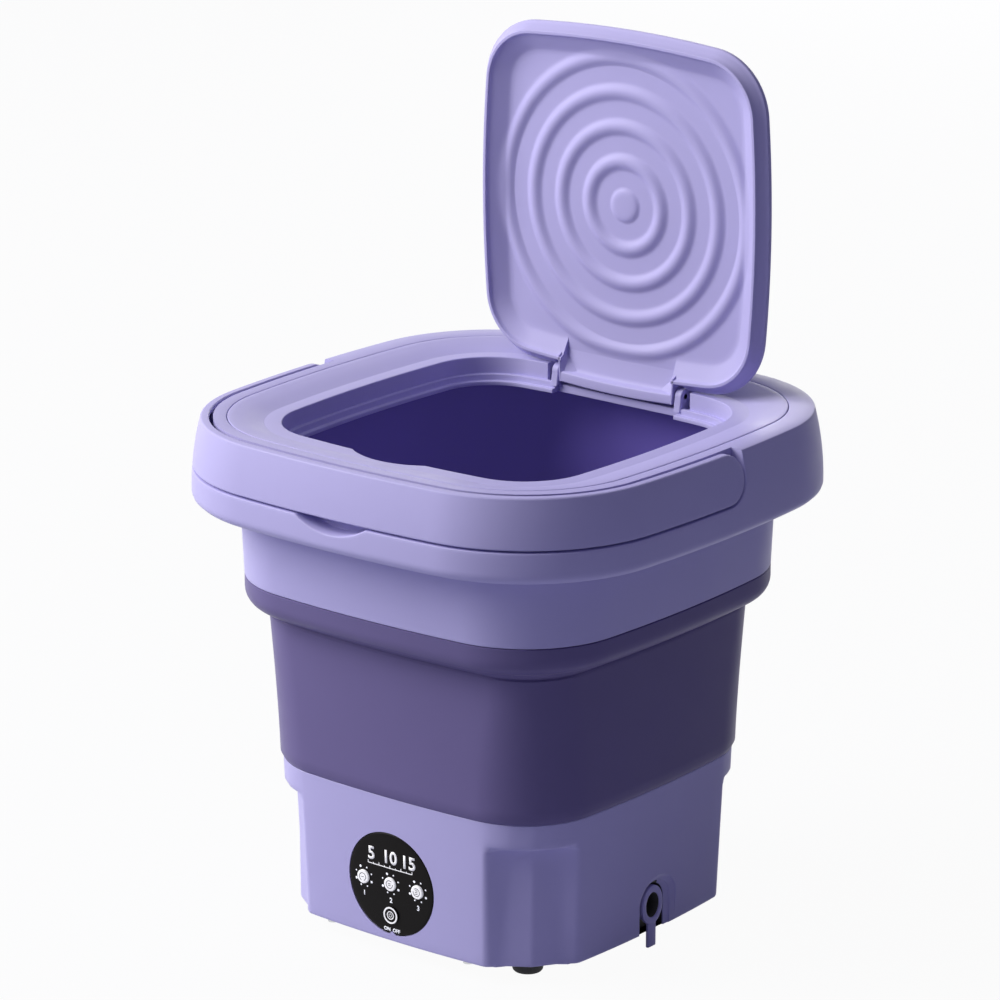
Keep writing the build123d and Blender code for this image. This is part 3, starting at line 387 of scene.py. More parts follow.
def fill(tree: bpy.types.NodeTree, node: bpy.types.Node, **values: object) -> None:
    """Set a node's inputs, or link them where the value is a socket.

    Args:
        tree: where the node is.
        node: the node.
        values: what its inputs hold or are linked to, named as for add_node.
    """
    for name, value in values.items():
        numbered = name[0] == "i" and name[1:].isdigit()
        target = node.inputs[int(name[1:]) if numbered else name.replace("_", " ")]
        if isinstance(value, bpy.types.NodeSocket):
            tree.links.new(value, target)
        else:
            target.default_value = value


class Grain(Enum):
    """Kinds of fine surface that a finish can have."""

    MOULDED = "moulded"
    BRUSHED = "brushed"
    SOFT = "soft"
    POLISHED = "polished"


@dataclass(frozen=True)
class Finish:
    """A surface: its colour and how it varies, its gloss and its fine relief.

    Attributes:
        name: the material's name.
        slot: the record's material slot.
        colour: linear base colour.
        shade: how much darker and lighter the broad colour variation goes.
        roughness: middle of the roughness.
        spread: how far roughness varies to either side.
        grain: kind of fine relief.
        grain_size: size of the grain in millimetres.
        relief: strength of the bump.
        metal: whether it is bare metal.
        coat: weight of a clear coat.
        specular: strength of the plain gloss.
        glow: strength of light given off.
    """

    name: str
    slot: str
    colour: tuple[float, float, float]
    shade: float = 0.03
    roughness: float = 0.42
    spread: float = 0.05
    grain: Grain = Grain.MOULDED
    grain_size: float = 0.5
    relief: float = 0.04
    metal: bool = False
    coat: float = 0.0
    specular: float = 0.5
    glow: float = 0.0

    def material(self) -> bpy.types.Material:
        """Make the material once and return it.

        Returns:
            A node material that reads Object coordinates: broad noise sways the colour, middling
            noise sways the roughness, and fine noise lifts the surface.
        """
        found = bpy.data.materials.get(self.name)
        if found:
            return found
        material = bpy.data.materials.new(self.name)
        material.use_nodes = True
        tree = material.node_tree
        where = tree.nodes.new("ShaderNodeTexCoord").outputs["Object"]
        brushed = (1, 1, 14) if self.grain is Grain.BRUSHED else (1, 1, 1)
        stretched = add_node(tree, "Mapping", Scale=brushed, Vector=where).outputs["Vector"]

        broad = add_node(tree, "TexNoise", Scale=9.0, Detail=3.0, Vector=where)
        low = [c * (1 - self.shade) for c in self.colour]
        high = [min(1.0, c * (1 + self.shade)) for c in self.colour]
        tint = add_node(tree, "Mix", data_type="RGBA", i6=(*low, 1), i7=(*high, 1),
                        i0=broad.outputs["Fac"])

        middling = add_node(tree, "TexNoise", Scale=60.0, Detail=4.0, Vector=stretched)
        gloss = add_node(tree, "MapRange", From_Min=0.3, From_Max=0.7,
                         To_Min=max(0.02, self.roughness - self.spread),
                         To_Max=self.roughness + self.spread, Value=middling.outputs["Fac"])

        fine = add_node(tree, "TexNoise", Scale=1000.0 / self.grain_size,
                        Detail=1.0 if self.grain is Grain.SOFT else 2.0, Vector=stretched)
        lift = add_node(tree, "Bump", Strength=self.relief, Distance=0.0004, Height=fine.outputs[0])

        shader = tree.nodes["Principled BSDF"]
        fill(tree, shader, Metallic=float(self.metal), Coat_Weight=self.coat, Coat_Roughness=0.12,
             Specular_IOR_Level=self.specular, Base_Color=tint.outputs[2],
             Roughness=gloss.outputs["Result"], Normal=lift.outputs["Normal"])
        if self.glow:
            fill(tree, shader, Emission_Color=(*self.colour, 1), Emission_Strength=self.glow)
        return material


MOULDED, BRUSHED, SOFT, POLISHED = Grain
LILAC = Finish("lilac_moulded", "lilac_plastic", (0.485, 0.452, 0.765),
               roughness=0.40, grain_size=0.45, specular=0.11)
# Painted shade: a darker, bluer copy of the lilac plastic, put on the tub dish for the shade deep
# inside.
SHADED_LILAC = Finish("lilac_painted_shade_dish", "lilac_plastic", (0.32, 0.26, 0.76),
              roughness=0.40, grain_size=0.45, specular=0.11)
# Painted shade and painted glow: a deep violet copy of the lilac plastic for the collar's inner
# faces, where shade falls, which also gives off a faint light of its own.
INSIDE_SHADE_GLOW = Finish("lilac_inside_painted_shade_glow", "lilac_plastic", (0.145, 0.112, 0.42),
                grain_size=0.45, specular=0.08, glow=0.12)
SLEEVE = Finish("sleeve_soft", "sleeve_rubber", (0.163, 0.137, 0.298),
                0.04, 0.38, 0.05, SOFT, 0.9, 0.03, specular=0.06)
BLACK = Finish("panel_gloss", "panel_black", (0.0045, 0.0036, 0.0040),
               0.15, 0.30, 0.05, POLISHED, 1.2, 0.02, specular=0.10)
# White button plastic that also gives off light of its own, a painted glow; used on the buttons,
# printed marks and dial numbers.
WHITE_GLOWING = Finish("button_white_painted_glow", "button_white", (0.90, 0.90, 0.91),
               0.02, 0.30, 0.04, MOULDED, 0.4, 0.02, glow=0.25)
GREY = Finish("button_mark", "button_white", (0.16, 0.16, 0.18),
              0.04, 0.4, 0.04, MOULDED, 0.4, 0.02)
LIGHT = Finish("lens_lit", "lens_light", (0.88, 0.90, 0.96),
               0.02, 0.25, 0.03, POLISHED, 0.4, 0.01, glow=0.45)
RUBBER = Finish("foot_rubber", "foot_rubber", (0.010, 0.009, 0.012),
                0.2, 0.5, 0.08, MOULDED, 0.3, 0.2, specular=0.25)
ZINC = Finish("zinc_plate", "zinc_steel", (0.62, 0.63, 0.65),
              0.06, 0.34, 0.08, BRUSHED, 0.3, 0.06, metal=True)
STEEL = Finish("ground_steel", "shaft_steel", (0.66, 0.66, 0.68),
               0.05, 0.22, 0.06, BRUSHED, 0.2, 0.05, metal=True)
BRONZE = Finish("sintered_bronze", "bush_bronze", (0.60, 0.42, 0.22),
                0.1, 0.45, 0.08, MOULDED, 0.2, 0.15, metal=True)
CAST = Finish("cast_housing", "housing_metal", (0.55, 0.56, 0.58),
              0.08, 0.5, 0.08, MOULDED, 0.6, 0.25, metal=True)
PLATED = Finish("motor_can", "motor_metal", (0.34, 0.35, 0.37),
                0.06, 0.38, 0.07, BRUSHED, 0.3, 0.06, metal=True)
IVORY = Finish("pulley_moulded", "pulley_plastic", (0.74, 0.72, 0.66),
               0.03, 0.45, 0.05, MOULDED, 0.4, 0.05)
BELT = Finish("belt_rubber", "belt_rubber", (0.02, 0.02, 0.02),
              0.2, 0.7, 0.08, SOFT, 0.6, 0.25)
BOARD = Finish("board_lacquer", "board_green", (0.02, 0.12, 0.05),
               0.12, 0.28, 0.05, POLISHED, 0.4, 0.03, coat=0.3)
# Near-black plastic of the carried inner parts; also put on the drain niche's lining and the plug's
# hollow as painted shade.
INNER_PLASTIC_AND_SHADE = Finish("inner_moulded_and_painted_shade", "inner_plastic", (0.030, 0.030, 0.034),
               0.12, 0.5, 0.06, MOULDED, 0.4, 0.08)
SHEATH = Finish("lead_sheath", "lead_sheath", (0.018, 0.018, 0.02),
                0.15, 0.45, 0.06, MOULDED, 0.5, 0.05)
CARRIED = (LILAC, SLEEVE, BLACK, WHITE_GLOWING, LIGHT, RUBBER, ZINC, STEEL, BRONZE, CAST, PLATED, IVORY,
           BELT, BOARD, INNER_PLASTIC_AND_SHADE, SHEATH)


# Rim, handle and collar


@dataclass
class Rim:
    """Wide band round the top, stepped back in front to take the handle.

    Attributes:
        half: half width at the widest level.
        seat: level of the groove's floor, on which the handle lies.
        seam: half width of the joint with the top cover.
        groove_inner: half width of the groove's inner wall.
        end_radius: radius of the groove's round ends about the pivots.
        edge: radius of the groove's outer edge.
        web: level of the flange under the band, which ends at web_inner.
        lip: how far the band's lower edge stands outside the flange.
        scoop_half: half length of the finger scoop, an arc of scoop_radius about scoop_centre.
        fade: height below the top over which the groove's edge runs out.
        rises: where the rows lie on the groove's upright walls, as shares of their height.
    """

    half: float = 150.5
    bottom: float = 243.5
    widest: float = 248.0
    top: float = 289.1
    seat: float = 260.9
    seam: float = 131.0
    groove_inner: float = 138.2
    pivot_y: float = 1.0
    pivot_z: float = 275.6
    end_radius: float = 14.7
    edge: float = 0.7
    web: float = 247.0
    web_inner: float = 126.1
    lip: float = 2.3
    lowest_row: float = 246.0
    scoop_half: float = 24.0
    scoop_radius: float = 45.19
    scoop_centre: float = 299.2
    fade: float = 6.0
    rises: Grid = field(
        default_factory=lambda: np.array([0.2, 0.4, 0.6, 0.8, 0.93, 0.975, 1.0]))

    def face(self, height: Grid | float) -> Grid:
        """Half width of the outer face.

        It is drawn in by 0.00262 h^2.05 at h above the widest level and by a parabola below it.

        Args:
            height: one or more levels.

        Returns:
            The half width at each.
        """
        height = np.asarray(height, float)
        above = 0.00262 * np.clip(height - self.widest, 0, None) ** 2.05
        below = 3.3 * np.clip((self.widest - height) / (self.widest - self.bottom), 0, None) ** 2
        return self.half - above - below

    def band(self, height: Grid | float) -> Grid:
        """The face's half width with its top edge rounded to a quarter circle of 1 mm."""
        near = np.clip(np.asarray(height, float) - (self.top - 1), 0, 1)
        return self.face(height) - (1 - np.sqrt(1 - near**2))

    def start(self) -> float:
        """Turn of the pivots' line, counted from the middle of a side."""
        return side_turn(self.pivot_y, self.face(self.seat - self.edge))

    def climb(self) -> Grid:
        """Levels of the rows from the pivots up to the top."""
        return self.pivot_z + (self.top - self.pivot_z) * self.rises

    def fades(self) -> Grid:
        """What is left of the groove's edge at those rows, 1 to 0."""
        return np.clip((self.top - self.climb()) / self.fade, 0, 1)

    def front_turns(self) -> Grid:
        """Columns in front of the pivots, with one at each end of the finger scoop.

        Returns:
            Their turns, in order.
        """
        turns = np.linspace(0.5 - self.start(), 1 + self.start(), 200)
        kinks = FRONT + side_turn(np.array([-self.scoop_half, self.scoop_half]), self.half)
        return np.sort(np.concatenate([turns, kinks]))

    def back_turns(self) -> Grid:
        """Columns behind the pivots."""
        return np.linspace(self.start(), 0.5 - self.start(), 170)

    def seat_level(self, turn: Grid) -> Grid:
        """Height of the handle's seat, lower along an arc in the finger scoop.

        Args:
            turn: the columns.

        Returns:
            The height at each.
        """
        x, y = outline(turn, self.half, RIM_CORNER)
        arc = self.scoop_centre - np.sqrt(np.clip(self.scoop_radius**2 - x**2, 0, None))
        return np.where((y < 0) & (abs(x) < self.scoop_half), np.minimum(self.seat, arc), self.seat)

    def groove(self, grow: float, inset: float,
               half: float | None = None) -> tuple[Grid, Grid, Grid]:
        """The groove's edge, up its left end, along its floor and up its right end.

        Args:
            grow: how far the edge lies outside the groove.
            inset: how far it lies inside the outer face.
            half: a fixed half width in place of the outer face.

        Returns:
            Turn, half width and height of each column.
        """
        phi = np.linspace(0, pi / 2, 13)[1:]
        radius = self.end_radius + grow
        level = np.concatenate([self.pivot_z - radius * np.cos(phi), self.climb()])
        reach = np.concatenate([radius * np.sin(phi), self.end_radius + grow * self.fades()])
        front = self.front_turns()
        floor = self.seat_level(front) - grow
        if half is None:
            width = self.band(level) - inset * np.concatenate([np.ones(12), self.fades()])
            floor_half = self.face(floor) - inset
        else:
            width, floor_half = np.full(level.shape, half), np.full(floor.shape, half)
        swing = side_turn(self.pivot_y + reach, width)
        turn = np.concatenate([(0.5 - swing)[::-1], front, 1 + swing])
        halves = np.concatenate([width[::-1], floor_half, width])
        return turn, halves, np.concatenate([level[::-1], floor, level])

    def skin(self) -> tuple[Grid, bool]:
        """The flange under the band, the lower edge and the face up to the groove's edge.

        Returns:
            A patch that closes round.
        """
        turns = np.concatenate([self.back_turns()[:-1], self.front_turns()[:-1]])
        limit = self.seat_level(turns) - self.edge
        foot = self.face(self.bottom)
        low = table([(self.web_inner, self.web, 0), (self.face(245) - self.lip, self.web, 0.6),
                     (foot - self.lip + 0.4, self.bottom, 0.7), (foot, self.bottom, 1.2),
                     (self.face(self.lowest_row), self.lowest_row, 0)])
        low = np.broadcast_to(low, (len(low), len(turns), 2))
        share = np.linspace(0, 1, 9)[1:, None]
        level = self.lowest_row + (limit - self.lowest_row) * share
        return carry(np.concatenate([low, stacked(self.face(level), level)]), turns), True

    def back_band(self) -> tuple[Grid, bool]:
        """The band behind the pivots, with its ends along the groove's and its rounded top.

        Returns:
            A patch from one pivot round the back to the other.
        """
        phi = np.linspace(0, pi / 2, 13)
        reach = self.end_radius + self.edge
        heights = np.concatenate([self.pivot_z - reach * np.cos(phi), self.climb(), [self.top],
                                  SEAM_EDGE[:, 1] + self.top])
        flat = 1 + len(SEAM_EDGE)
        ends = np.concatenate([reach * np.sin(phi), self.end_radius + self.edge * self.fades(),
                               [self.end_radius] * flat])
        halves = np.concatenate([self.band(heights[:-flat]), [self.groove_inner],
                                 SEAM_EDGE[:, 0] + self.seam])
        heights[0] = self.seat - self.edge
        start = side_turn(self.pivot_y + ends, halves)[:, None]
        start[0] = self.start()
        share = np.linspace(0, 1, len(self.back_turns()))
        return carry(stacked(halves, heights)[:, None], start + (0.5 - 2 * start) * share), False

    def build(self) -> None:
        """Skin, back band, edge and floor of the groove, its wall and top ring, in one piece."""
        theta = np.linspace(0, pi / 2, 4)
        edge = [self.groove(self.edge * (1 - sin(t)), self.edge * (1 - cos(t))) for t in theta]
        turn, _, height = self.groove(0, 0, self.groove_inner)
        edge.append((turn, np.full(turn.shape, self.groove_inner), height))
        turns, halves, heights = (np.stack(rows) for rows in zip(*edge))
        floor = carry(stacked(halves, heights), turns)

        inner = slice(len(self.rises), len(turn) - len(self.rises))
        share = np.concatenate([[0], self.rises])[:, None]
        wall = stacked(self.groove_inner, height[inner] + (self.top - height[inner]) * share)
        flat = np.concatenate([[(self.groove_inner, self.top)], SEAM_EDGE + (self.seam, self.top)])
        ring_turn = np.stack([self.groove(0, 0, half)[0][inner] for half in flat[:, 0]])
        ring = carry(flat[:, None], ring_turn)
        patches = [self.skin(), self.back_band(), (floor, False),
                   (carry(wall, turn[inner]), False), (ring, False)]
        rim = make("rim_shell_skin", patches, bridge=True)
        place(rim, LILAC, "upper", "rim_shell")


@dataclass
class Handle:
    """Bail handle, the front half of the rim's band, hollow behind with ribs.

    Attributes:
        rim: the rim that it lies in.
        bottom: level of its lower edge.
        inner: half width of its back.
        edge: radius of its outer edges.
        wall: thickness round the hollow.
        solid_end: where the hollow ends, along Y.
        rib_half: half thickness of a rib.
        rib_root: how far a rib goes into the walls.
    """

    rim: Rim
    bottom: float = 262.1
    inner: float = 140.5
    edge: float = 1.0
    wall: float = 2.4
    solid_end: float = -12.5
    ribs: int = 9
    rib_half: float = 0.9
    rib_root: float = 0.3

    def sheet(self, shrink: float, inset: float, width: float | None = None,
              hollow: bool = False) -> Grid:
        """A grid over the front whose ends are half circles about the pivots.

        Args:
            shrink: how far its edge lies inside the handle's edge.
            inset: how far it lies inside the outer face.
            width: a fixed half width in place of the outer face.
            hollow: whether its ends are straight, where the hollow ends.

        Returns:
            Rows from bottom to top, columns from the left end round the front to the right end.
        """
        radius = (self.rim.top - self.bottom) / 2 - shrink
        phi = np.linspace(0, pi, 25)[:, None]
        level = self.rim.pivot_z - radius * np.cos(phi)
        half = self.rim.face(level) - inset if width is None else np.full(level.shape, width)
        end = self.solid_end if hollow else self.rim.pivot_y + radius * np.sin(phi)
        reach = side_turn(end, half)
        turn = 0.5 - reach + (0.5 + 2 * reach) * np.linspace(0, 1, 260)
        return carry(stacked(half, level), turn)

    def build(self) -> None:
        """Outer face, rounded edge, sides, back with its hollow, and the ribs in the hollow."""
        grids = [self.sheet(self.edge * (1 - sin(t)), self.edge * (1 - cos(t)))
                 for t in np.linspace(0, pi / 2, 5)]
        grids += [self.sheet(0, 0, self.inner + 0.5), self.sheet(0.5, 0, self.inner),
                  self.sheet(self.wall, 0, self.inner, hollow=True),
                  self.sheet(self.wall, self.wall, hollow=True)]
        patches = [(grids[0], False), (np.concatenate([border(grid) for grid in grids]), True),
                   (grids[-1], False)]
        side = side_turn(self.rib_half, self.inner)
        span = (self.rim.top - self.bottom) / 2 - self.wall + self.rib_root
        level = self.rim.pivot_z + np.linspace(-span, span, 5)[:, None]
        for turn in FRONT + np.linspace(-0.2, 0.2, self.ribs):
            turns = np.array([turn - side, turn + side])
            outer = carry(stacked(self.rim.face(level) - self.wall + self.rib_root, level), turns)
            near = carry(stacked(self.inner + 2 * self.rib_root, level), turns)
            sides = np.concatenate([border(near), border(outer)])
            patches += [(near, False), (outer, False), (sides, True)]
        place(make("handle_bail", patches), LILAC, "handle", "handle")


@dataclass
class Collar:
    """Light ring between the sleeve and the rim."""

    bottom_half: float = 122.6
    top_half: float = 124.5
    wall: float = 2.2
    bottom: float = 200.0
    rim_bottom: float = 243.5
    top: float = 284.0

    def build(self) -> None:
        """One closed profile of two straight walls, carried round the outline."""
        top = self.top_half + 0.7
        profile = table([
            (self.bottom_half, self.bottom, 0.8), (self.top_half, self.rim_bottom, 3),
            (top, self.top, 0.4), (top - self.wall, self.top, 0.4),
            (self.top_half - self.wall, self.rim_bottom, 3),
            (self.bottom_half - self.wall, self.bottom, 0.6),
        ])
        grid = carry(np.concatenate([profile, profile[:1]]), evenly(256))
        collar = place(make("collar", grid), LILAC, "upper", "upper_frame")
        # Faces that look inwards take the painted shade and glow.
        line(collar, INSIDE_SHADE_GLOW, looks_in(collar))


# Top cover


@dataclass
class TopCover:
    """Dished ring from the rim's seam down to the stepped mouth, with hinge pocket and ears.

    Attributes:
        seam: half width of the joint with the rim.
        lip: level of the flat round the mouth, which begins at lip_half.
        mouth: half width of the mouth.
        shift: how far the mouth lies from the middle, along Y.
        ledge_one: half width of the mouth's upper ledge.
        ledge_two: half width of its lower ledge.
        notch_half: half length of the finger notch, an arc of notch_radius.
        pocket_half: half length of the hinge's pocket, which ends at pocket_back.
        gap_half: half length of the gap under the lid's tongue, which ends at gap_y.
        ears: where the plate of a hinge ear begins and ends along X.
        hinge: y and z of the hinge's axis.
        skin: thickness behind the mouth's edge.
        web: level of the underside.
    """

    seam: float = 130.6
    top: float = 289.1
    lip: float = 285.0
    lip_half: float = 110.0
    mouth: float = 100.4
    shift: float = -1.0
    ledge_one: float = 97.6
    ledge_one_z: float = 275.6
    ledge_two: float = 94.6
    ledge_two_z: float = 272.2
    bottom: float = 269.8
    notch_half: float = 25.0
    notch_depth: float = 7.3
    notch_radius: float = 46.46
    pocket_half: float = 50.0
    pocket_back: float = 107.6
    pocket_floor: float = 274.2
    gap_half: float = 43.0
    gap_y: float = 97.9
    ears: tuple[float, float] = (41.0, 45.4)
    ear_radius: float = 4.4
    hinge: tuple[float, float] = (100.0, 281.8)
    skin: float = 2.2
    web: float = 282.6

    def build(self) -> None:
        """One closed profile that changes from column to column, and the two ears."""
        marks = side_turn(np.array([self.pocket_half, self.gap_half]), self.mouth)
        steps = np.concatenate([BACK - marks, BACK + marks])
        notch = FRONT + side_turn(np.linspace(-self.notch_half, self.notch_half, 25), self.mouth)
        turn = np.sort(np.concatenate([evenly(288), steps - STEP, steps + STEP, notch]))
        x, y = outline(turn, self.mouth, RIM_CORNER)
        back, front = y > 0, (y < 0) & (abs(x) < self.notch_half)
        pocket, gap = back & (abs(x) < self.pocket_half), back & (abs(x) < self.gap_half)
        arc = np.sqrt(np.clip(self.notch_radius**2 - x**2, 0, None))
        bow = np.clip(arc - (self.notch_radius - self.notch_depth), 0, None)
        edge = np.where(front, self.mouth + bow, self.mouth)
        edge = np.where(pocket, np.hypot(self.pocket_back - self.shift + BOW, x) - BOW, edge)
        floor, inner_top = (np.where(zone, self.pocket_floor, self.ledge_one_z)
                            for zone in (pocket, gap))
        gap_edge = np.hypot(self.gap_y - self.shift + BOW, x) - BOW
        wall, one, two = (np.where(gap, gap_edge, half)
                          for half in (self.mouth, self.ledge_one, self.ledge_two))
        profile = table([
            (self.seam, self.top - 2.2, 0.5), (self.seam, self.top, 0.7), (127.6, 288.9, 1.0),
            (121.5, 287.9, 4), (115.5, 286.5, 4), (self.lip_half, self.lip, 0.35),
            (edge, self.lip + 0.15, 1.0), (edge, floor, 0.5), (wall, floor, 0),
            (wall, inner_top, 0), (one, inner_top, 0.6), (one, self.ledge_two_z, 0.4),
            (two, self.ledge_two_z, 0.6), (two, self.bottom, 0.5),
            (edge + self.skin, self.bottom, 0), (edge + self.skin, self.web, 0),
            (118, self.web, 0),
        ], 3)
        profile = np.concatenate([profile, profile[:1]])
        shift = self.shift * np.clip((122 - profile[..., 0]) / 8, 0, 1)
        cover = make("top_cover_ring", carry(profile, turn, RIM_CORNER, shift))
        place(cover, LILAC, "upper", "top_cover")
        for side in (-1, 1):
            place(self.ear(side), LILAC, "upper")

    def ear(self, side: int) -> bpy.types.Object:
        """One hinge ear: a round-topped plate, its outline carried along X with rounded rims.

        Args:
            side: -1 for the left ear, 1 for the right one.

        Returns:
            The ear, not dressed yet.
        """
        y, z = self.hinge
        angle = np.linspace(-0.12, pi + 0.12, 25)
        foot_y, foot_z = self.ear_radius + 1.2, self.pocket_floor - z - 0.5
        plan = np.stack([self.ear_radius * np.cos(angle), self.ear_radius * np.sin(angle)], -1)
        plan = np.concatenate([[(foot_y, foot_z)], plan, [(-foot_y, foot_z)]])
        low, high = sorted(side * x for x in self.ears)
        rims = ((low, 0.0), (low, 0.93), (low + 0.35, 1.0),
                (high - 0.35, 1.0), (high, 0.93), (high, 0.0))
        rows = [stacked(x, y + plan[:, 0] * scale, z + plan[:, 1] * scale) for x, scale in rims]
        return make(f"hinge_ear_{'left' if side < 0 else 'right'}", np.stack(rows))


# Lid


@dataclass
class Lid:
    """Lid standing open, a shallow pan with round ridges inside and its tongue between the ears.

    Depths count along Y from the hinge's axis, heights from the pan's middle.

    Attributes:
        centre_z: level of the pan's middle.
        edge: half width outside the pan's rim; edge_inner is inside it.
        edge_depth: depth of the rim.
        panel: depth of the flat inside, and panel_rise how far it rises at the hinge.
        skin: depth of the outside.
        foot: half width of the flat inside.
        brim: half width where the outside begins to swell.
        circles: radius up to which the rows of the flat inside are circles.
        trim: lowest level of the pan, and notch_trim its level beside the tongue.
        bow: how far the tongue's lower edge bows down.
    """

    centre_z: float = 382.8
    hinge_y: float = 100.0
    edge: float = 94.7
    edge_inner: float = 92.9
    edge_depth: float = -5.1
    panel: float = 3.1
    panel_rise: float = 2.4
    skin: float = 5.9
    foot: float = 80.5
    brim: float = 97.4
    circles: int = 74
    ridge_first: float = 24.7
    ridge_pitch: float = 19.5
    ridge_width: float = 10.5
    ridge_height: float = 1.9
    dome_radius: float = 9.9
    tongue_half: float = 38.5
    notch_half: float = 45.6
    trim: float = 285.6
    notch_trim: float = 288.4
    bow: float = 1.3

    def panel_depth(self, z: Grid) -> Grid:
        """Depth of the flat inside: level, then rising with the distance squared to the hinge."""
        return self.panel - self.panel_rise * np.clip((-20 - z) / 68, 0, 1.1) ** 2

    def relief(self, x: Grid, z: Grid) -> Grid:
        """Height of the ridges: a low flat dome, then four rings of (1 - t^2)^1.5.

        Here t is counted from the middle of a ring's width, from -1 to 1.

        Args:
            x: place across the pan.
            z: place up the pan, from its middle.

        Returns:
            The height at each point.
        """
        r = np.hypot(x, z)
        dome = np.clip(1 - (r / self.dome_radius) ** 6, 0, 1)
        ring = (r - self.ridge_first) / self.ridge_pitch
        nearest = np.clip(np.round(ring), 0, 3)
        t = (r - self.ridge_first - nearest * self.ridge_pitch) / (self.ridge_width / 2)
        return self.ridge_height * (np.clip(1 - t**2, 0, 1) ** 1.5 + 0.7 * dome)

    def inside(self, turn: Grid) -> Grid:
        """The ridged panel, whose rows pass from circles to the pan's outline.

        Args:
            turn: the columns.

        Returns:
            A grid of points whose third value is the depth.
        """
        ring = np.stack(outline(turn, self.foot, RIM_CORNER), -1)
        polar = np.arctan2(ring[:, 1], ring[:, 0])
        circle = np.stack([np.cos(polar), np.sin(polar)], -1)
        radius = np.arange(self.circles)[:, None, None]
        last, share = self.circles * circle, np.linspace(0, 1, 24)[:, None, None]
        flat = np.concatenate([radius * circle, last + (ring - last) * share])
        depth = self.panel_depth(flat[..., 1]) - self.relief(flat[..., 0], flat[..., 1])
        return np.concatenate([flat, depth[..., None]], -1)

    def shell(self, turn: Grid, at_tongue: Grid) -> Grid:
        """Inner slope, rim and outer wall, with the ridges running out over the slope.

        Args:
            turn: the columns.
            at_tongue: which of them end at the tongue and have no rim.

        Returns:
            A grid of points whose third value is the depth.
        """
        foot_depth = self.panel_depth(outline(turn, self.foot, RIM_CORNER)[1])
        toe, toe_depth = self.foot + 2.4, foot_depth - 0.3
        edge_depth = np.where(at_tongue, toe_depth, self.edge_depth)
        slope = edge_depth + np.where(at_tongue, 0.1, 1.8)
        profile = table([
            (self.foot, foot_depth, 0), (toe, toe_depth, 2.4),
            *((toe + 9.1 * s, toe_depth + (slope - toe_depth) * s, 0)
              for s in (0.3, 0.42, 0.54, 0.66, 0.78)),
            (self.edge_inner - 0.9, slope, 1.2), (self.edge_inner, edge_depth, 0.35),
            (self.edge, edge_depth, 0.35), (95.6, edge_depth + 2.1, 1.5), (98.2, 0.2, 1.2),
            (99.5, 1.2, 0.4), (99.5, 3.6, 0.9), (self.brim, self.skin, 1.4),
        ])
        end = np.broadcast_to([self.brim, self.skin], (1, len(turn), 2))
        profile = np.concatenate([profile[:-4], end])
        shell = carry(profile, turn)
        fade = np.clip(1 - (profile[..., 0] - self.foot) / 9.5, 0, 1)
        fade[(len(profile) - 1) // 2:] = 0
        shell[..., 2] -= self.relief(shell[..., 0], shell[..., 1]) * fade
        return shell

    def outside(self, turn: Grid) -> Grid:
        """The outer skin, which swells by a parabola to its middle.

        Args:
            turn: the columns.

        Returns:
            A grid of points whose third value is the depth.
        """
        share = np.linspace(1, 0, 12)[:, None]
        back = np.stack(outline(turn, self.brim, RIM_CORNER), -1) * share[..., None]
        swell = np.broadcast_to(self.skin + 0.9 * (1 - share**2), back.shape[:2])
        return np.concatenate([back, swell[..., None]], -1)

    def build(self) -> None:
        """The pan's three grids, stood up, trimmed level along the hinge, and the tongue."""
        marks = side_turn(np.array([self.tongue_half, self.notch_half]), self.edge)
        steps = np.concatenate([FRONT - marks, FRONT + marks])
        turn = np.sort(np.concatenate([evenly(336), steps - STEP, steps + STEP]))
        along = np.where(turn > 0.5, abs(outline(turn, self.edge, RIM_CORNER)[0]), np.inf)
        beside = (along > self.tongue_half) & (along < self.notch_half)
        limit = np.where(beside, self.notch_trim, self.trim)
        patches = []
        shell = self.shell(turn, along < self.tongue_half)
        for grid in (self.inside(turn), shell, self.outside(turn)):
            height = np.maximum(self.centre_z + grid[..., 1], limit)
            patches.append((stacked(grid[..., 0], self.hinge_y + grid[..., 2], height), True))
        place(make("lid_pan", patches, sharp=40), LILAC, "lid", "lid")
        place(self.tongue(), LILAC, "lid")

    def tongue(self) -> bpy.types.Object:
        """A profile of (y, z) along X whose lower edge bows down, and a wedge at each end.

        Returns:
            The tongue, not dressed yet.
        """
        along = np.linspace(-self.tongue_half, self.tongue_half, 41)
        face = self.hinge_y + self.panel - self.panel_rise
        profile = table([
            (face + 0.9, 300, 0), (face - 0.05, 292, 4), (face - 1.6, 284.6, 1.5),
            (face - 2.6, 283.4, 1.2), (95.1, 282.6, 0.7), (94.9, 277, 0.9), (103.0, 277, 1),
            (105.6, 286, 1), (105.4, 300, 0),
        ], 3)[:, 0]
        bow = self.bow * (1 - (along / self.tongue_half) ** 2)[:, None]
        drop = bow * np.clip((290 - profile[:, 1]) / 9, 0, 1)
        plate = stacked(along[:, None], profile[:, 0], profile[:, 1] - drop)
        ends = plate.mean(axis=1, keepdims=True) + 0 * plate
        patches = [(np.concatenate([ends[:1], plate, ends[-1:]]), True)]
        outer = [(40.4, 94.9, 292), (41, 104, 297.5), (41, 104, 277.2), (39.2, 94.9, 277.2)]
        inner = [(39.6, 94.9, 292), (40, 104, 297.5), (28.5, face - 2.2, 282.6),
                 (38.4, 94.9, 277.2)]
        for side in (-1, 1):
            loops = np.array([outer, inner]) * (side, 1, 1)
            middles = loops.mean(axis=1, keepdims=True) + 0 * loops
            patches.append((np.stack([middles[0], *loops, middles[1]]), True))
        return make("lid_tongue", patches, sharp=35)


# Sleeve, tub and base


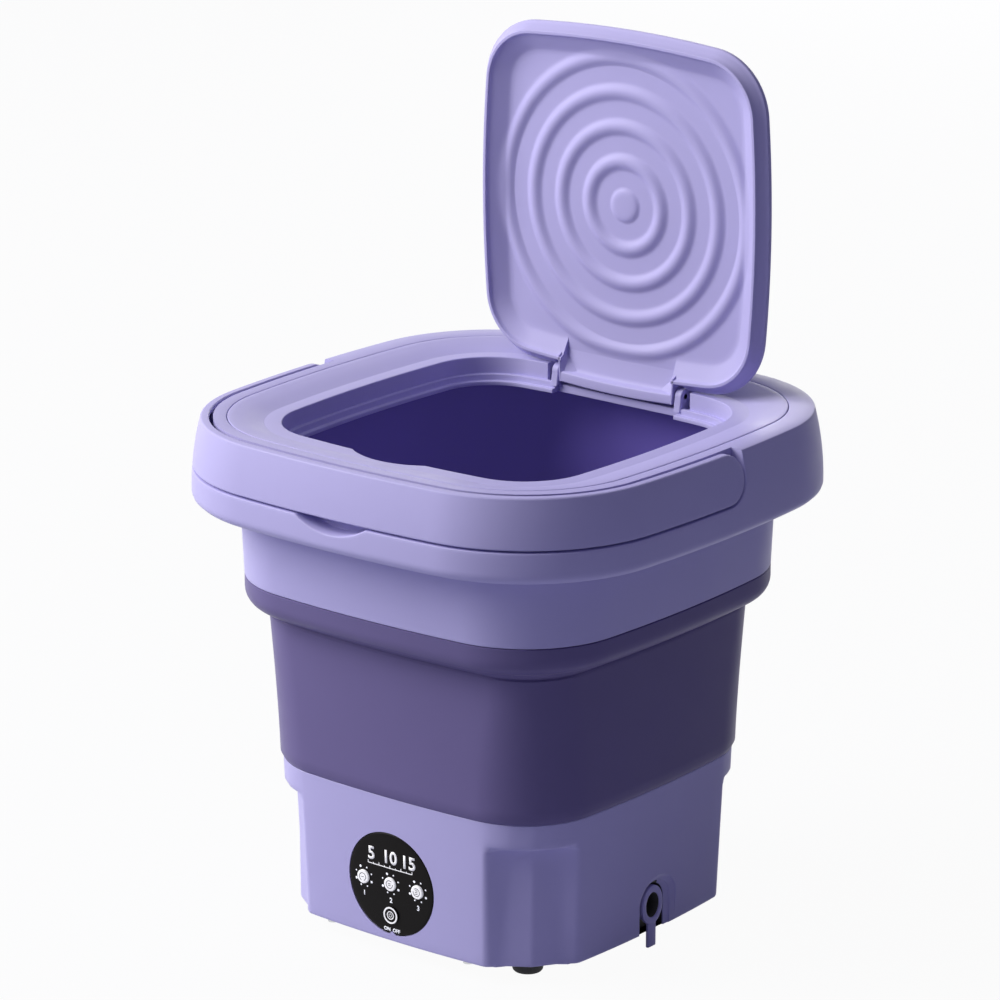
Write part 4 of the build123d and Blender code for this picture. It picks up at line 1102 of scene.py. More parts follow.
@dataclass
class Sleeve:
    """Soft folding wall between base and collar, with the roll under its top."""

    foot_half: float = 104.3
    foot: float = 94.5
    crease_corner: float = 65.7
    top_half: float = 122.6
    top: float = 199.7
    roll: float = 10.0
    roll_z: float = 193.0
    wall: float = 2.0

    def build(self) -> None:
        """Outer and inner profile of (half, height, corner centre), closed at both ends."""
        turn = np.linspace(-pi / 2, 0, 9)
        middle, inner_roll = self.top_half - self.roll, self.roll - self.wall
        foot = [(self.foot_half, self.foot), (self.foot_half + 0.2, self.foot + 0.5),
                (self.foot_half + 1.6, self.foot + 3.2)]
        outer = [(*point, BASE_CORNER) for point in foot]
        outer += [(105.9 + 1.3 * s, 97.7 + 78.3 * s, BASE_CORNER + 10.7 * s**1.5)
                  for s in np.linspace(0.06, 1, 12)]
        outer += [(107.3, 177.3, self.crease_corner), (106.7, 178.3, 65.0), (107.5, 179.2, 64.2),
                  (109.0, 180.0, 63.0), (110.2, 181.6, 62.0)]
        outer += [(middle + self.roll * cos(t), self.roll_z + self.roll * sin(t),
                   60.5 if t < -1.2 else RIM_CORNER) for t in turn[1:]]
        outer += [(self.top_half, 196.5, RIM_CORNER), (self.top_half, self.top - 0.4, RIM_CORNER),
                  (self.top_half - 0.5, self.top, RIM_CORNER)]
        inner = [(self.top_half - self.wall, self.top, RIM_CORNER)]
        inner += [(middle + inner_roll * cos(t), self.roll_z + inner_roll * sin(t), RIM_CORNER)
                  for t in turn[::-1]]
        inner += [(105.2, 181, 63.5), (105.2, 176, self.crease_corner), (103.9, 106, 56.5),
                  (101.9, 101.3, BASE_CORNER), (101.9, self.foot, BASE_CORNER)]
        rows = np.array(outer + inner + outer[:1])
        sleeve = make("sleeve_wall", carry(rows[:, None, :2], evenly(272), rows[:, 2:]), sharp=38)
        sleeve.data.materials.append(SLEEVE.material())
        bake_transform(sleeve)
        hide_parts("sleeve")


@dataclass
class Tub:
    """Dish under the sleeve with the pulsator and the strainer in its floor."""

    top_half: float = 101.5
    top: float = 100.3
    floor: float = 62.0
    under: float = 59.0
    wall: float = 3.0
    floor_half: float = 81.0
    floor_corner: float = 23.6
    drain_x: float = 71.0
    radius: float = 60.0
    blades: int = 4
    holes: int = 6

    def build(self) -> None:
        """Dish, pulsator and strainer."""
        self.dish()
        self.pulsator()
        self.strainer()

    def dish(self) -> None:
        """Inner wall and underside, closed by floors drawn in to a point."""
        inner = table([(self.top_half, self.top, 0), (self.top_half - self.wall, self.top, 0.6),
                       (98.5, 88.7, 4), (89.5, 83.7, 4), (self.floor_half, self.floor, 9),
                       (62.5, self.floor, 0)], 6)
        outer = table([(62.5, self.under, 0), (84, self.under, 6), (92.5, 82.7, 4),
                       (self.top_half, 87.7, 4), (self.top_half, self.top, 0)], 5)
        bends = [self.floor_corner, self.floor_corner, BASE_CORNER]
        inner, outer = (carry(rows, evenly(256), np.interp(rows[..., 1], [62, 84, 89], bends))
                        for rows in (inner, outer))
        share = np.linspace(1, 0, 20)[:, None]
        floors = [(stacked(rim[:, 0] * share, rim[:, 1] * share, rim[:, 2]), True)
                  for rim in (inner[-1], outer[0])]
        dish = make("tub_dish", [(inner, True), *floors, (outer, True)])
        # The dish takes the darker lilac, painted shade of the deep inside.
        place(dish, SHADED_LILAC, "root", "tub_bottom")

    def pulsator(self) -> None:
        """Shallow cone whose height is raised along four smooth blades and a round hub.

        A blade is exp(-(d/3)^4) high at the distance d from its middle line, times its height
        at that radius.
        """
        radius = np.concatenate([np.linspace(0, 16, 14), np.linspace(17, 56, 26),
                                 np.linspace(57, self.radius, 7)])[:, None]
        angle = 2 * pi * np.arange(240) / 240
        cone = 68 + 4.5 * np.clip((self.radius - radius) / 45, 0, 1)
        hub = 4.5 * np.clip(1 - (radius / 15) ** 6, 0, 1)
        spread = 2 * pi / self.blades
        across = np.abs(radius * np.sin((angle % spread) - spread / 2))
        height = np.interp(radius, [0, 9, 19, 50, 56], [0, 9, 11.5, 3.0, 0])
        blade = np.exp(-((across / 3.0) ** 4)) * height
        edge = -2.2 * np.clip((radius - 57.5) / 2.5, 0, 1) ** 2
        top = stacked(radius * np.cos(angle), radius * np.sin(angle),
                      cone + hub * 0.9 + blade + edge)
        under = np.linspace(self.radius, 0, 8)[:, None]
        under = stacked(under * np.cos(angle), under * np.sin(angle), 65.0)
        patches = [(top, True), (np.concatenate([top[-1:], under]), True)]
        place(make("pulsator_disc", patches, sharp=50), LILAC, "pulsator_drive", "pulsator")
        cap = lathe([(0, 76.2), (6.0, 76.2), (6.0, 78.1), (5.3, 78.8), (3, 79.2), (0, 79.3)],
                    (0, 0, 0))
        place(make("pulsator_button", cap), LILAC, "pulsator_drive", "pulsator_cap")

    def strainer(self) -> None:
        """Round strainer over the drain, with a ring of drilled holes."""
        profile = [(0, 60), (6.9, 60), (6.9, 62.1), (6.2, 62.6), (3, 62.9), (0, 63)]
        disc = make("strainer_disc", lathe(profile, (self.drain_x, 0, 0)))
        cutters = []
        for k in range(self.holes):
            turn = 2 * pi * k / self.holes
            centre = (self.drain_x + 3.6 * cos(turn), 3.6 * sin(turn), 0)
            hole = lathe([(0, 59), (1, 59), (1, 66), (0, 66)], centre, columns=14)
            cutters.append(make(f"strainer_hole_{k}", hole))
        cut(disc, cutters)
        place(disc, LILAC, "root", "drain_strainer")


def pinch(angle: Grid, depth: float, half: float) -> Grid:
    """Factor on a radius that draws it in by a triangle of `depth` round six o'clock."""
    return 1 - depth * np.clip(1 - abs(angle - 1.5 * pi) / half, 0, 1)


@dataclass
class Base:
    """Drafted base, its corners cut back under a flange, with openings for panel, drain and socket.

    Attributes:
        half: half width at the bottom, which grows by draft over height.
        straight: half length of a side that its corner recess leaves whole.
        cove_bottom: level where the recess begins to curve out, by cove, under the flange.
        niche_half: half length of the drain's niche, an arch about niche_z.
        spout_z: level of the spout's axis.
        socket: x and z of the socket's axis.
    """

    half: float = 101.0
    draft: float = 3.2
    bottom: float = 10.0
    height: float = 82.3
    straight: float = 56.0
    cove_bottom: float = 76.5
    cove: float = 1.3
    flange_bottom: float = 80.0
    top: float = 94.5
    wall: float = 2.4
    panel_z: float = 43.8
    panel_hole: float = 29.9
    niche_half: float = 11.0
    niche_z: float = 26.6
    niche_depth: float = 8.0
    spout_z: float = 24.5
    socket: tuple[float, float] = (52.0, 34.0)

    def face(self, height: Grid | float) -> Grid:
        """Half width at a height."""
        return self.half + self.draft * (np.asarray(height) - self.bottom) / self.height

    def plan(self, height: float) -> tuple[Grid, Grid]:
        """One quarter's path at a height, from the middle of +X to the middle of +Y.

        Args:
            height: level of the path.

        Returns:
            The path with the corner cut back, and the path that follows the full outline.
        """
        half = float(self.face(height))
        below = self.flange_bottom - height

        def on_side(y: Grid | float) -> Grid:
            """Points of the bowed side at y."""
            return stacked(np.sqrt((BOW + half) ** 2 - np.square(y)) - BOW, y)

        drop = 0.003 * below
        corners = np.array([on_side(self.straight), on_side(65.1 - 0.030 * below),
                            (91.4 - drop, 69.4 - drop), (82.6 - drop, 82.6 - drop)])
        corners = np.concatenate([corners, corners[2::-1, ::-1]])
        path = rounded(corners, [0, 3.0, 4.0, 1.6, 4.0, 3.0, 0], 5)[:, 0]
        side = on_side(np.linspace(0, self.straight, 12)[:-1])
        path = np.concatenate([side, path, side[::-1, ::-1]])[:-1]
        turns = np.linspace(0, 0.25, 2001)
        x, y = outline(turns, half, BASE_CORNER)
        turn = np.interp(np.arctan2(path[:, 1], path[:, 0]), np.arctan2(y, x), turns)
        return path, np.stack(outline(turn, half, BASE_CORNER), -1)

    def ring(self, height: float, out: float = 0.0, back: float | None = None,
             inset: float = 0.0) -> Grid:
        """A closed row of points at a height, on the cut-back path or on the full outline.

        Args:
            height: level of the row.
            out: distance from the cut-back path towards the full outline.
            back: in its place, distance from the full outline towards the path.
            inset: how far the row lies inside, along its own normals.

        Returns:
            The row, as an array of one row by columns by three.
        """
        path, whole = self.plan(height)
        gap = np.linalg.norm(whole - path, axis=1, keepdims=True)
        length = np.maximum(gap, 1e-6)
        if back is None:
            share = np.minimum(out, 0.45 * gap) / length
        else:
            share = np.where(gap < 1e-3, 1.0, 1 - np.minimum(back, 0.3 * gap) / length)
        quarter = path + (whole - path) * share
        loops = []
        for turn in range(4):
            c, s = cos(turn * pi / 2), sin(turn * pi / 2)
            loops.append(quarter @ np.array([[c, s], [-s, c]]))
        loop = np.concatenate(loops)
        if inset:
            along = np.roll(loop, -1, 0) - np.roll(loop, 1, 0)
            along /= np.linalg.norm(along, axis=1, keepdims=True)
            loop = loop - np.column_stack([along[:, 1], -along[:, 0]]) * inset
        return stacked(loop[:, 0], loop[:, 1], height)[None]

    def build(self) -> None:
        """Stack rows up the outside, over the top and down the inside, then cut the openings."""
        rows = [self.ring(self.bottom + up, inset=inset)
                for up, inset in ((0, 0.8), (0.25, 0.35), (0.8, 0.1), (1.6, 0))]
        rows += [self.ring(z) for z in np.linspace(16, self.cove_bottom, 9)]
        for t in np.linspace(0, pi / 2, 6)[1:]:
            out = self.cove * (1 - cos(t)) + 1e-6
            rows.append(self.ring(self.cove_bottom + self.cove * sin(t), out))
        rows += [self.ring(self.flange_bottom + up, back=back)
                 for up, back in ((0, 1.2), (0.35, 0.4), (1.2, 0))]
        rows += [self.ring(z, back=0) for z in (84, 88, 91, self.top - 0.6)]
        rows += [self.ring(z, back=0, inset=inset)
                 for z, inset in ((self.top, 0.5), (self.top, self.wall), (83.5, self.wall))]
        rows += [self.ring(z, inset=self.wall) for z in (82.4, 40, self.bottom)]
        shell = make("base_shell_body", np.concatenate([*rows, rows[0]]))

        front = float(self.face(self.panel_z))
        hole = lathe([(0, -14), (self.panel_hole, -14), (self.panel_hole, 14), (0, 14)],
                     (0, -front, self.panel_z), "y", 240)
        tab = pinch(2 * pi * np.arange(240) / 240, 0.075, 0.085)
        hole[..., 0] *= tab
        hole[..., 2] = self.panel_z + (hole[..., 2] - self.panel_z) * tab
        x, z = self.socket
        socket = lathe([(0, -8), (6.3, -8), (6.3, 8), (0, 8)], (x, float(self.face(z)), z), "y", 40)
        cut(shell, [make("panel_cut", hole), make("socket_cut", socket), self.niche("niche_cut")])
        place(shell, LILAC, "root", "base_shell")
        self.niche_lining()

    def arch(self, x: float, left: float, right: float, rise: float, foot: float) -> Grid:
        """A row up one side, over a half ellipse and down the other side.

        Args:
            x: where the row stands.
            left: how far its left side lies from the niche's middle.
            right: the same for its right side.
            rise: height of the half ellipse.
            foot: level at which both sides begin.

        Returns:
            One row of points.
        """
        angle = np.linspace(0, pi, 25)
        y = (right - left) / 2 + (right + left) / 2 * np.cos(angle)
        y = np.concatenate([y[:1], y, y[-1:]])
        z = np.concatenate([[foot], self.niche_z + rise * np.sin(angle), [foot]])
        return stacked(x, y, z)[None]

    def niche(self, name: str) -> bpy.types.Object:
        """The space of the drain's niche, with two steps where it opens, wider towards the back.

        Its rows are (x from the face, then what left, right and rise add to niche_half).

        Args:
            name: what the cutter is called.

        Returns:
            A closed cutter.
        """
        face = float(self.face(self.spout_z))
        sizes = [
            (-self.niche_depth, 0, 0, 0), (-1.95, 0, 0, 0), (-1.9, 0.1, 3.6, 0.7),
            (-1.7, 0.2, 4.3, 0.9), (-1.0, 0.4, 4.7, 1.2), (-0.9, 0.6, 5.3, 1.6),
            (-0.85, 0.9, 8.2, 2.4), (-0.65, 1.1, 9.0, 2.7), (0.1, 1.7, 9.5, 3.1),
            (0.4, 3.0, 10.6, 4), (6, 9, 16, 9),
        ]
        rows = [self.arch(face + out, *(self.niche_half + more for more in grown), 4)
                for out, *grown in sizes]
        ends = [row.mean(axis=1, keepdims=True) + 0 * row for row in (rows[0], rows[-1])]
        return make(name, np.concatenate([ends[0], *rows, ends[1]]))

    def niche_lining(self) -> None:
        """Back and sides of the drain's niche, with a round hole for the spout."""
        face, half, depth = float(self.face(self.spout_z)), self.niche_half, self.niche_depth
        outer = [self.arch(face - out, *[half + 2] * 3, 10.2) for out in (2.5, depth + 2)]
        inner = [self.arch(face - out, *[half] * 3, 10.2) for out in (depth, 2.7)]
        ends = [np.broadcast_to([x, 0, self.niche_z], inner[0].shape)
                for x in (face - depth - 2, face - depth)]
        rows = np.concatenate([ends[0], outer[1], outer[0], inner[1], inner[0], ends[1]])
        lining = make("drain_niche", rows)
        bore = lathe([(0, -6), (9.3, -6), (9.3, 6), (0, 6)],
                     (face - depth - 1, 0, self.spout_z), "x", 40)
        cut(lining, [make("spout_cut", bore)])
        # The near-black lining is painted shade in the niche.
        place(lining, INNER_PLASTIC_AND_SHADE, "root")


# Panel, drain and feet


@dataclass
class Panel:
    """Black round panel following the front wall, with its buttons, dots of light and numbers.

    Attributes:
        base: the base that it is let into.
        proud: how far the panel stands out of the wall.
        caps: how far the button caps do, and prints how far the marks on them do.
        pitch: distance between the program buttons.
        dot_circle: radius of the ring of dots round a button.
        scale_z: level of the dial's ticked line, scale_half its half length.
    """

    base: Base
    radius: float = 29.45
    proud: float = 0.05
    caps: float = 1.05
    prints: float = 1.08
    pitch: float = 19.0
    button_z: float = 44.0
    button_radius: float = 3.9
    power_z: float = 25.8
    power_radius: float = 5.0
    dot_circle: float = 5.9
    dots_round: int = 8
    scale_z: float = 53.2
    scale_half: float = 15.5

    def front(self, x: Grid, z: Grid) -> Grid:
        """Y of the front wall at x and z."""
        return -(np.sqrt((BOW + self.base.face(z)) ** 2 - np.asarray(x) ** 2) - BOW)

    def disc(self) -> None:
        """Polar grid laid on the front wall, with a rounded rim and a small notch at its foot."""
        angle, centre = 2 * pi * np.arange(240) / 240, self.base.panel_z
        radius = np.concatenate([np.linspace(0, 28.6, 14),
                                 [29.0, 29.3, self.radius, self.radius, 28.5, 0]])[:, None]
        radius = radius * pinch(angle, 0.066, 0.1)
        rim = [self.proud - 0.05, self.proud - 0.2, self.proud - 0.4, -2, -2, -2]
        lift = np.concatenate([np.full(14, self.proud), rim])[:, None]
        x, z = radius * np.cos(angle), centre + radius * np.sin(angle)
        grid = np.stack([x, self.front(x, z) - lift, z], -1)
        place(make("panel_disc", grid), BLACK, "root", "control_panel")

    def button(self, name: str, node: str, body: str, x: float, z: float, radius: float,
               finish: Finish) -> None:
        """A low round button with a softened rim.

        Args:
            name: the piece's name.
            node: the CAD node that it replaces.
            body: the body that it rides on.
            x: where its middle lies.
            z: level of its middle.
            radius: of the cap.
            finish: its finish.
        """
        cap = lathe([(0, 2.0), (radius, 2.0), (radius, 0.35), (radius - 0.1, 0.12),
                     (radius - 0.35, 0), (radius - 0.9, -0.02), (0, -0.02)],
                    (x, -float(self.base.face(z)) - self.caps, z), "y")
        place(make(name, cap), finish, body, node)

    def tube(self, path: Grid, width: float, depth: float) -> tuple[Grid, bool]:
        """A flat printed line: its section is a thin box, square to a path given in x and z.

        Args:
            path: points of (x, y, z) on the face.
            width: width of the line.
            depth: how far it stands out along -Y.

        Returns:
            A patch whose rows run round the section and whose first and last columns are points.
        """
        along = np.gradient(path, axis=0)
        along /= np.linalg.norm(along, axis=1, keepdims=True)
        across = stacked(-along[:, 2], 0.0, along[:, 0]) * width / 2
        out = np.array([0, -depth, 0])
        section = np.stack([path - across, path - across + out, path + across + out,
                            path + across, path - across])
        ends = [np.broadcast_to(section[:4, k].mean(axis=0), (5, 1, 3)) for k in (0, -1)]
        return np.concatenate([ends[0], section, ends[1]], axis=1), False

    def round_path(self, x: float, y: float, z: float, radius: float, angle: Grid) -> Grid:
        """Points of an arc in the plane at y about (x, z)."""
        return stacked(x + radius * np.cos(angle), y, z + radius * np.sin(angle))

    def build(self) -> None:
        """Disc, program buttons with their marks, power button, dots of light and labels.

        A label is its text, x, level and size.
        """
        self.disc()
        for k, name in enumerate(("left", "middle", "right")):
            self.program(k, name)
        self.power()
        self.dots()
        self.scale()
        labels = [("5", -13.0, 59.4, 10.5), ("10", 0.0, 59.6, 10.5), ("15", 13.0, 59.4, 10.5),
                  ("1", -self.pitch, 34.4, 4.0), ("2", 0.0, 34.4, 4.0),
                  ("3", self.pitch, 34.4, 4.0), ("ON  OFF", 0.0, 17.0, 2.9)]
        for k, (text, x, z, size) in enumerate(labels):
            self.label(k, text, x, z, size)

    def program(self, k: int, name: str) -> None:
        """One program button, and on it an open ring that turns with k round k + 1 short bars.

        Args:
            k: its place from the left, from 0.
            name: left, middle or right.
        """
        x, z, body = (k - 1) * self.pitch, self.button_z, f"{name}_button"
        # The program button's white cap carries the painted glow.
        self.button(f"program_button_{name}", f"button_{name}", body, x, z,
                    self.button_radius, WHITE_GLOWING)
        y = -float(self.base.face(self.base.panel_z)) - self.prints
        angle = np.linspace(0.35, 2 * pi - 0.35, 40) - pi / 2 + k * 2.1
        ring = self.round_path(x, y, z, 2.2, angle)
        bars = [stacked(x + np.array([-0.9, 0.9]), y, z + rise)
                for rise in np.linspace(-0.5 * k, 0.5 * k, k + 1)]
        patches = [self.tube(path, 0.42, 0.06) for path in (ring, *bars)]
        place(make(f"program_mark_{name}", patches), GREY, body)

    def power(self) -> None:
        """Black button with a white outer ring, an inner ring and the usual on and off sign."""
        z, body = self.power_z, "on_off_button"
        self.button("power_button_cap", "power_button", body, 0, z, self.power_radius, BLACK)
        y, full = -float(self.base.face(z)) - self.prints, np.linspace(0, 2 * pi, 61)
        open_arc = np.linspace(pi / 2 + 0.6, 2.5 * pi - 0.6, 24)
        lines = [(self.round_path(0, y, z, 4.35, full), 0.9),
                 (self.round_path(0, y, z, 2.15, full), 0.5),
                 (self.round_path(0, y, z, 0.95, open_arc), 0.28),
                 (stacked(0.0, y, z + np.array([0.3, 1.3])), 0.28)]
        patches = [self.tube(path, width, 0.1) for path, width in lines]
        # The printed sign carries the painted glow of the white finish.
        place(make("power_sign", patches), WHITE_GLOWING, body)

    def dots(self) -> None:
        """Low domes of light round each program button, three of them larger."""
        patches = []
        for k in (-1, 0, 1):
            for n in range(self.dots_round):
                turn = 2 * pi * (n + 0.5) / self.dots_round
                x = k * self.pitch + self.dot_circle * cos(turn)
                z = self.button_z + self.dot_circle * sin(turn)
                size = 0.75 if n in (2, 4, 7) else 0.5
                dome = [(0, 0.6), (size, 0.6), (size, 0), (size * 0.6, -0.12), (0, -0.18)]
                y = float(self.front(x, z)) - self.proud
                patches.append((lathe(dome, (x, y, z), "y", 12), True))
        place(make("light_dots", patches), LIGHT, "root", "indicator_lenses")

    def scale(self) -> None:
        """The dial's line, with nine ticks of two lengths."""
        z, half = self.scale_z, self.scale_half
        x = np.linspace(-half, half, 25)
        paths = [stacked(x, self.front(x, z) - self.proud - 0.02, z)]
        for x, rise in zip(np.linspace(-half, half, 9), (1.5, 0.8) * 4 + (1.5,)):
            ends = np.array([z, z + rise])
            paths.append(stacked(x, self.front(x, ends) - self.proud - 0.02, ends))
        marks = [self.tube(path, 0.45, 0.08) for path in paths]
        # The printed scale carries the painted glow of the white finish.
        place(make("dial_scale", marks), WHITE_GLOWING, "root")

    def label(self, k: int, text: str, x: float, z: float, size: float) -> None:
        """Plain numbers or words as thin letters laid on the front wall.

        Args:
            k: its place in the list; the first three are the dial's and bolder.
            text: what it says.
            x: where its middle lies.
            z: level of its middle.
            size: height of the letters' em in millimetres.
        """
        curve = bpy.data.curves.new(f"label_{k}", "FONT")
        curve.body, curve.size, curve.align_x, curve.extrude = text, size * MM, "CENTER", 0.0
        curve.resolution_u, curve.offset = 4, (0.25 if k < 3 else 0.08) * MM
        holder = bpy.data.objects.new(f"label_{k}", curve)
        bpy.context.scene.collection.objects.link(holder)
        mesh = bpy.data.meshes.new_from_object(
            holder.evaluated_get(bpy.context.evaluated_depsgraph_get()))
        bpy.data.objects.remove(holder)
        flat = np.empty(len(mesh.vertices) * 3)
        mesh.vertices.foreach_get("co", flat)
        flat = flat.reshape(-1, 3) / MM
        px, pz = flat[:, 0] + x, flat[:, 1] + z - size * 0.35
        laid = np.column_stack([px, self.front(px, pz) - self.proud - 0.05, pz])
        mesh.vertices.foreach_set("co", (laid * MM).ravel())
        mesh.update()
        obj = bpy.data.objects.new(f"dial_number_{k}", mesh)
        bpy.context.scene.collection.objects.link(obj)
        thick = obj.modifiers.new("thick", "SOLIDIFY")
        thick.thickness, thick.offset = 0.00015, -1.0
        # Every label glows, a painted glow on print: the dial's numbers take the white finish and
        # the rest take the lens finish.
        place(obj, WHITE_GLOWING if k < 3 else LIGHT, "root")


@dataclass
class Drain:
    """Spout in the niche, and the plug with its oval ring and pull strap.

    Attributes:
        base: the base whose niche it stands in.
        ring_z: level of the ring's middle, above the spout's axis.
        spout_back: how far the spout's end lies behind the face.
        front: how far the ring stands out of the spout's end.
        hole: half width of the ring's hollow, and ring its own.
        oval: what the ring's widths across and upwards are multiplied by.
    """

    base: Base
    ring_z: float = 25.2
    spout_back: float = 3.5
    front: float = 3.1
    hole: float = 6.3
    ring: float = 9.9
    oval: tuple[float, float] = (0.92, 1.14)

    def build(self) -> None:
        """Spout, plug with its oval ring and its hollow in painted shade, and strap."""
        z = self.base.spout_z
        end = float(self.base.face(z)) - self.spout_back
        spout = lathe([(7.5, -9), (9.0, -9), (9.0, -0.4), (8.7, 0), (7.8, 0), (7.5, -0.3),
                       (7.5, -9)], (end, 0, z), "x")
        place(make("spout_tube", spout), LILAC, "root", "drain_spout")
        front, ring, hole = self.front, self.ring, self.hole
        rows = [(7.3, -8.5), (7.3, 0.35), (ring - 0.5, 0.35), (ring - 0.1, 0.6), (ring, 1.0),
                (ring, front - 0.7), (ring - 0.2, front - 0.2), (ring - 0.7, front),
                (hole + 0.7, front), (hole + 0.2, front - 0.2), (hole, front - 0.7),
                (hole, -7.2), (0, -7.2), (0, -8.5), (7.3, -8.5)]
        grid = lathe(rows, (end, 0, z), "x", 72)
        wide = np.clip(np.array(rows)[:, 1:] / 0.35, 0, 1)
        grid[..., 1] *= 1 + (self.oval[0] - 1) * wide
        rise = (grid[..., 2] - z) * (1 + (self.oval[1] - 1) * wide)
        grid[..., 2] = z + (self.ring_z - z) * wide + rise
        strap = box_grid((end + 0.7, -3.5, 0.6), (end + front - 0.4, 3.5, self.ring_z - 8.5), 0.6)
        plug = make("plug_ring_strap", [(grid, True), (strap, True)])
        place(plug, LILAC, "drain_plug", "drain_plug")
        # Painted shade: the ring's hollow and the bore behind it take the near-black finish, for
        # the shade of the deep hole.
        (x, y, height), _ = (values.T for values in face_middles(plug))
        hollow_shade = np.hypot(y / self.oval[0], (height - self.ring_z) / self.oval[1]) < hole + 0.05
        bore_shade = (np.hypot(y, height - z) < hole + 0.4) & (x < end + 0.3)
        line(plug, INNER_PLASTIC_AND_SHADE, hollow_shade | bore_shade)


@dataclass
class Feet:
    """Four round rubber feet."""

    inset: float = 67.0
    radius: float = 8.5
    height: float = 10.2

    def build(self) -> None:
        """Each foot is a turned pad with a rounded lower edge, and a peg up into the base."""
        radius, height = self.radius, self.height
        profile = [(0, 0.0), (6.6, 0.0), (7.6, 0.25), (8.25, 1.0), (radius, 2.0), (radius, height),
                   (4, height), (4, 14), (0, 14)]
        for y, row in ((-1, "front"), (1, "back")):
            for x, side in ((-1, "left"), (1, "right")):
                pad = make(f"pad_{row}_{side}", lathe(profile, (x * self.inset, y * self.inset, 0)))
                place(pad, RUBBER, "root", f"foot_{row}_{side}")


# Carried nodes, studio and camera


def dress_nodes() -> None:
    """Give every CAD node that still shows the finish of its slot."""
    finishes = {finish.slot: finish for finish in CARRIED}
    slots = {part["node"]: part["material_slot"] for part in frame["record"]["subparts"]}
    for name, obj in frame["nodes"].items():
        material = finishes[slots[name]].material()
        for slot in obj.material_slots:
            slot.material = material
        if not obj.material_slots:
            obj.data.materials.append(material)


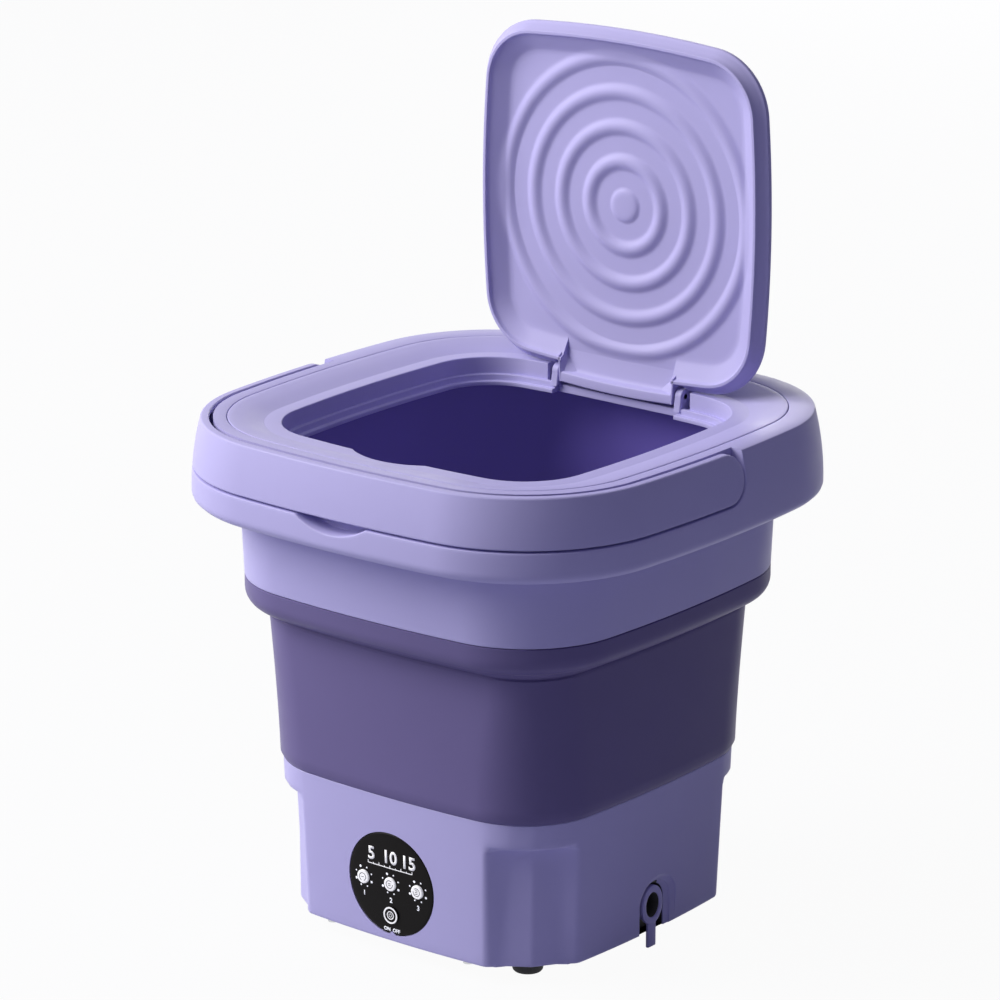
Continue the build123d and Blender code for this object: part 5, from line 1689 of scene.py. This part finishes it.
@dataclass
class Studio:
    """Pale floor, soft lamps and the camera at the photograph's angle.

    Attributes:
        lamps: name, place, size and power of each lamp.
        lamp_colour: their colour.
        floor_colour: what the floor throws back on the object.
        floor_share: how much of the floor's own white the camera sees.
        sky: strength of the world's light, and sky_tint its colour.
        camera_at: place of the camera, aimed at the height aim.
    """

    lamps: tuple[tuple[str, tuple[float, float, float], float, float], ...] = (
        ("key", (-1.90, -1.45, 1.80), 1.9, 106.0),
        ("top", (-0.2, -0.6, 2.6), 1.6, 6.0),
        ("back", (-1.1, 2.4, 0.5), 1.2, 12.0),
    )
    lamp_colour: tuple[float, float, float] = (1.0, 0.99, 0.94)
    floor_colour: tuple[float, float, float] = (0.40, 0.41, 0.52)
    floor_share: float = 0.955
    sky: float = 0.16
    sky_tint: tuple[float, float, float] = (0.58, 0.57, 1.0)
    camera_at: tuple[float, float, float] = (1.5901, -1.9843, 1.0169)
    aim: float = 0.23998
    lens: float = 175.30
    shift: tuple[float, float] = (-0.00859, -0.0048)

    def shown(self, tree: bpy.types.NodeTree) -> bpy.types.NodeSocket:
        """A value of 1 for what the camera sees, directly or in gloss and glass, else 0.

        Args:
            tree: where the nodes go.

        Returns:
            The socket that holds the value.
        """
        path = tree.nodes.new("ShaderNodeLightPath")
        value = path.outputs["Is Camera Ray"]
        for name in ("Is Glossy Ray", "Is Transmission Ray"):
            either = add_node(tree, "Math", operation="MAXIMUM", i0=value, i1=path.outputs[name])
            value = either.outputs[0]
        return value

    def floor(self) -> None:
        """A wide disc that looks white to the camera and keeps the shadow."""
        grid = lathe([(0, 0), (600, 0), (2500, 0), (9000, 0)], (0, 0, -0.05), columns=96)
        floor = make("floor", grid)
        material = bpy.data.materials.new("studio_floor")
        material.use_nodes = True
        tree = material.node_tree
        shader = tree.nodes["Principled BSDF"]
        fill(tree, shader, Base_Color=(*self.floor_colour, 1), Roughness=0.9)
        glow = add_node(tree, "Emission", Color=(1, 1, 1, 1), Strength=1.0)
        amount = add_node(tree, "Math", operation="MULTIPLY", i0=self.shown(tree),
                          i1=self.floor_share)
        mix = add_node(tree, "MixShader", i0=amount.outputs[0], i1=shader.outputs[0],
                       i2=glow.outputs[0])
        fill(tree, tree.nodes["Material Output"], Surface=mix.outputs[0])
        floor.data.materials.append(material)

    def lamp(self, name: str, where: tuple[float, float, float], size: float, power: float) -> None:
        """A square soft lamp aimed at the middle of the object.

        Args:
            name: what it is called.
            where: its place, in metres.
            size: length of its side, in metres.
            power: in watts.
        """
        data = bpy.data.lights.new(name, "AREA")
        data.size, data.energy, data.color = size, power, self.lamp_colour
        lamp = bpy.data.objects.new(name, data)
        lamp.location = where
        aim = Vector((0, 0, 0.25)) - Vector(where)
        lamp.rotation_euler = aim.to_track_quat("-Z", "Y").to_euler()
        bpy.context.scene.collection.objects.link(lamp)

    def world(self) -> None:
        """White to the camera and in reflections, a low even light on everything else."""
        world = bpy.context.scene.world or bpy.data.worlds.new("studio")
        bpy.context.scene.world = world
        world.use_nodes = True
        tree = world.node_tree
        shown = self.shown(tree)
        tint = add_node(tree, "Mix", data_type="RGBA", i6=(*self.sky_tint, 1), i7=(1, 1, 1, 1),
                        i0=shown)
        level = add_node(tree, "MapRange", To_Min=self.sky, To_Max=1.0, Value=shown)
        fill(tree, tree.nodes["Background"], Color=tint.outputs[2],
             Strength=level.outputs["Result"])

    def camera(self) -> None:
        """Camera fitted to the photograph."""
        data = bpy.data.cameras.new("camera")
        data.sensor_width, data.lens = 36.0, self.lens
        data.shift_x, data.shift_y = self.shift
        data.clip_start, data.clip_end = 0.1, 50
        camera = bpy.data.objects.new("camera", data)
        camera.location = self.camera_at
        aim = Vector((0, 0, self.aim)) - camera.location
        camera.rotation_euler = aim.to_track_quat("-Z", "Y").to_euler()
        bpy.context.scene.collection.objects.link(camera)
        bpy.context.scene.camera = camera

    def build(self) -> None:
        """Floor, lamps, world, camera and the plain view transform."""
        self.floor()
        for lamp in self.lamps:
            self.lamp(*lamp)
        self.world()
        self.camera()
        bpy.context.scene.view_settings.view_transform = "Standard"


def main() -> None:
    """Build every sub-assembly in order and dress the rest."""
    Studio().build()
    rim, base = Rim(), Base()
    pieces = [rim, Handle(rim), Collar(), TopCover(), Lid(), Sleeve(), Tub(), base, Panel(base),
              Drain(base), Feet()]
    for piece in pieces:
        piece.build()
        log.info("built %s", type(piece).__name__)
    dress_nodes()


if __name__ == "__main__":
    main()
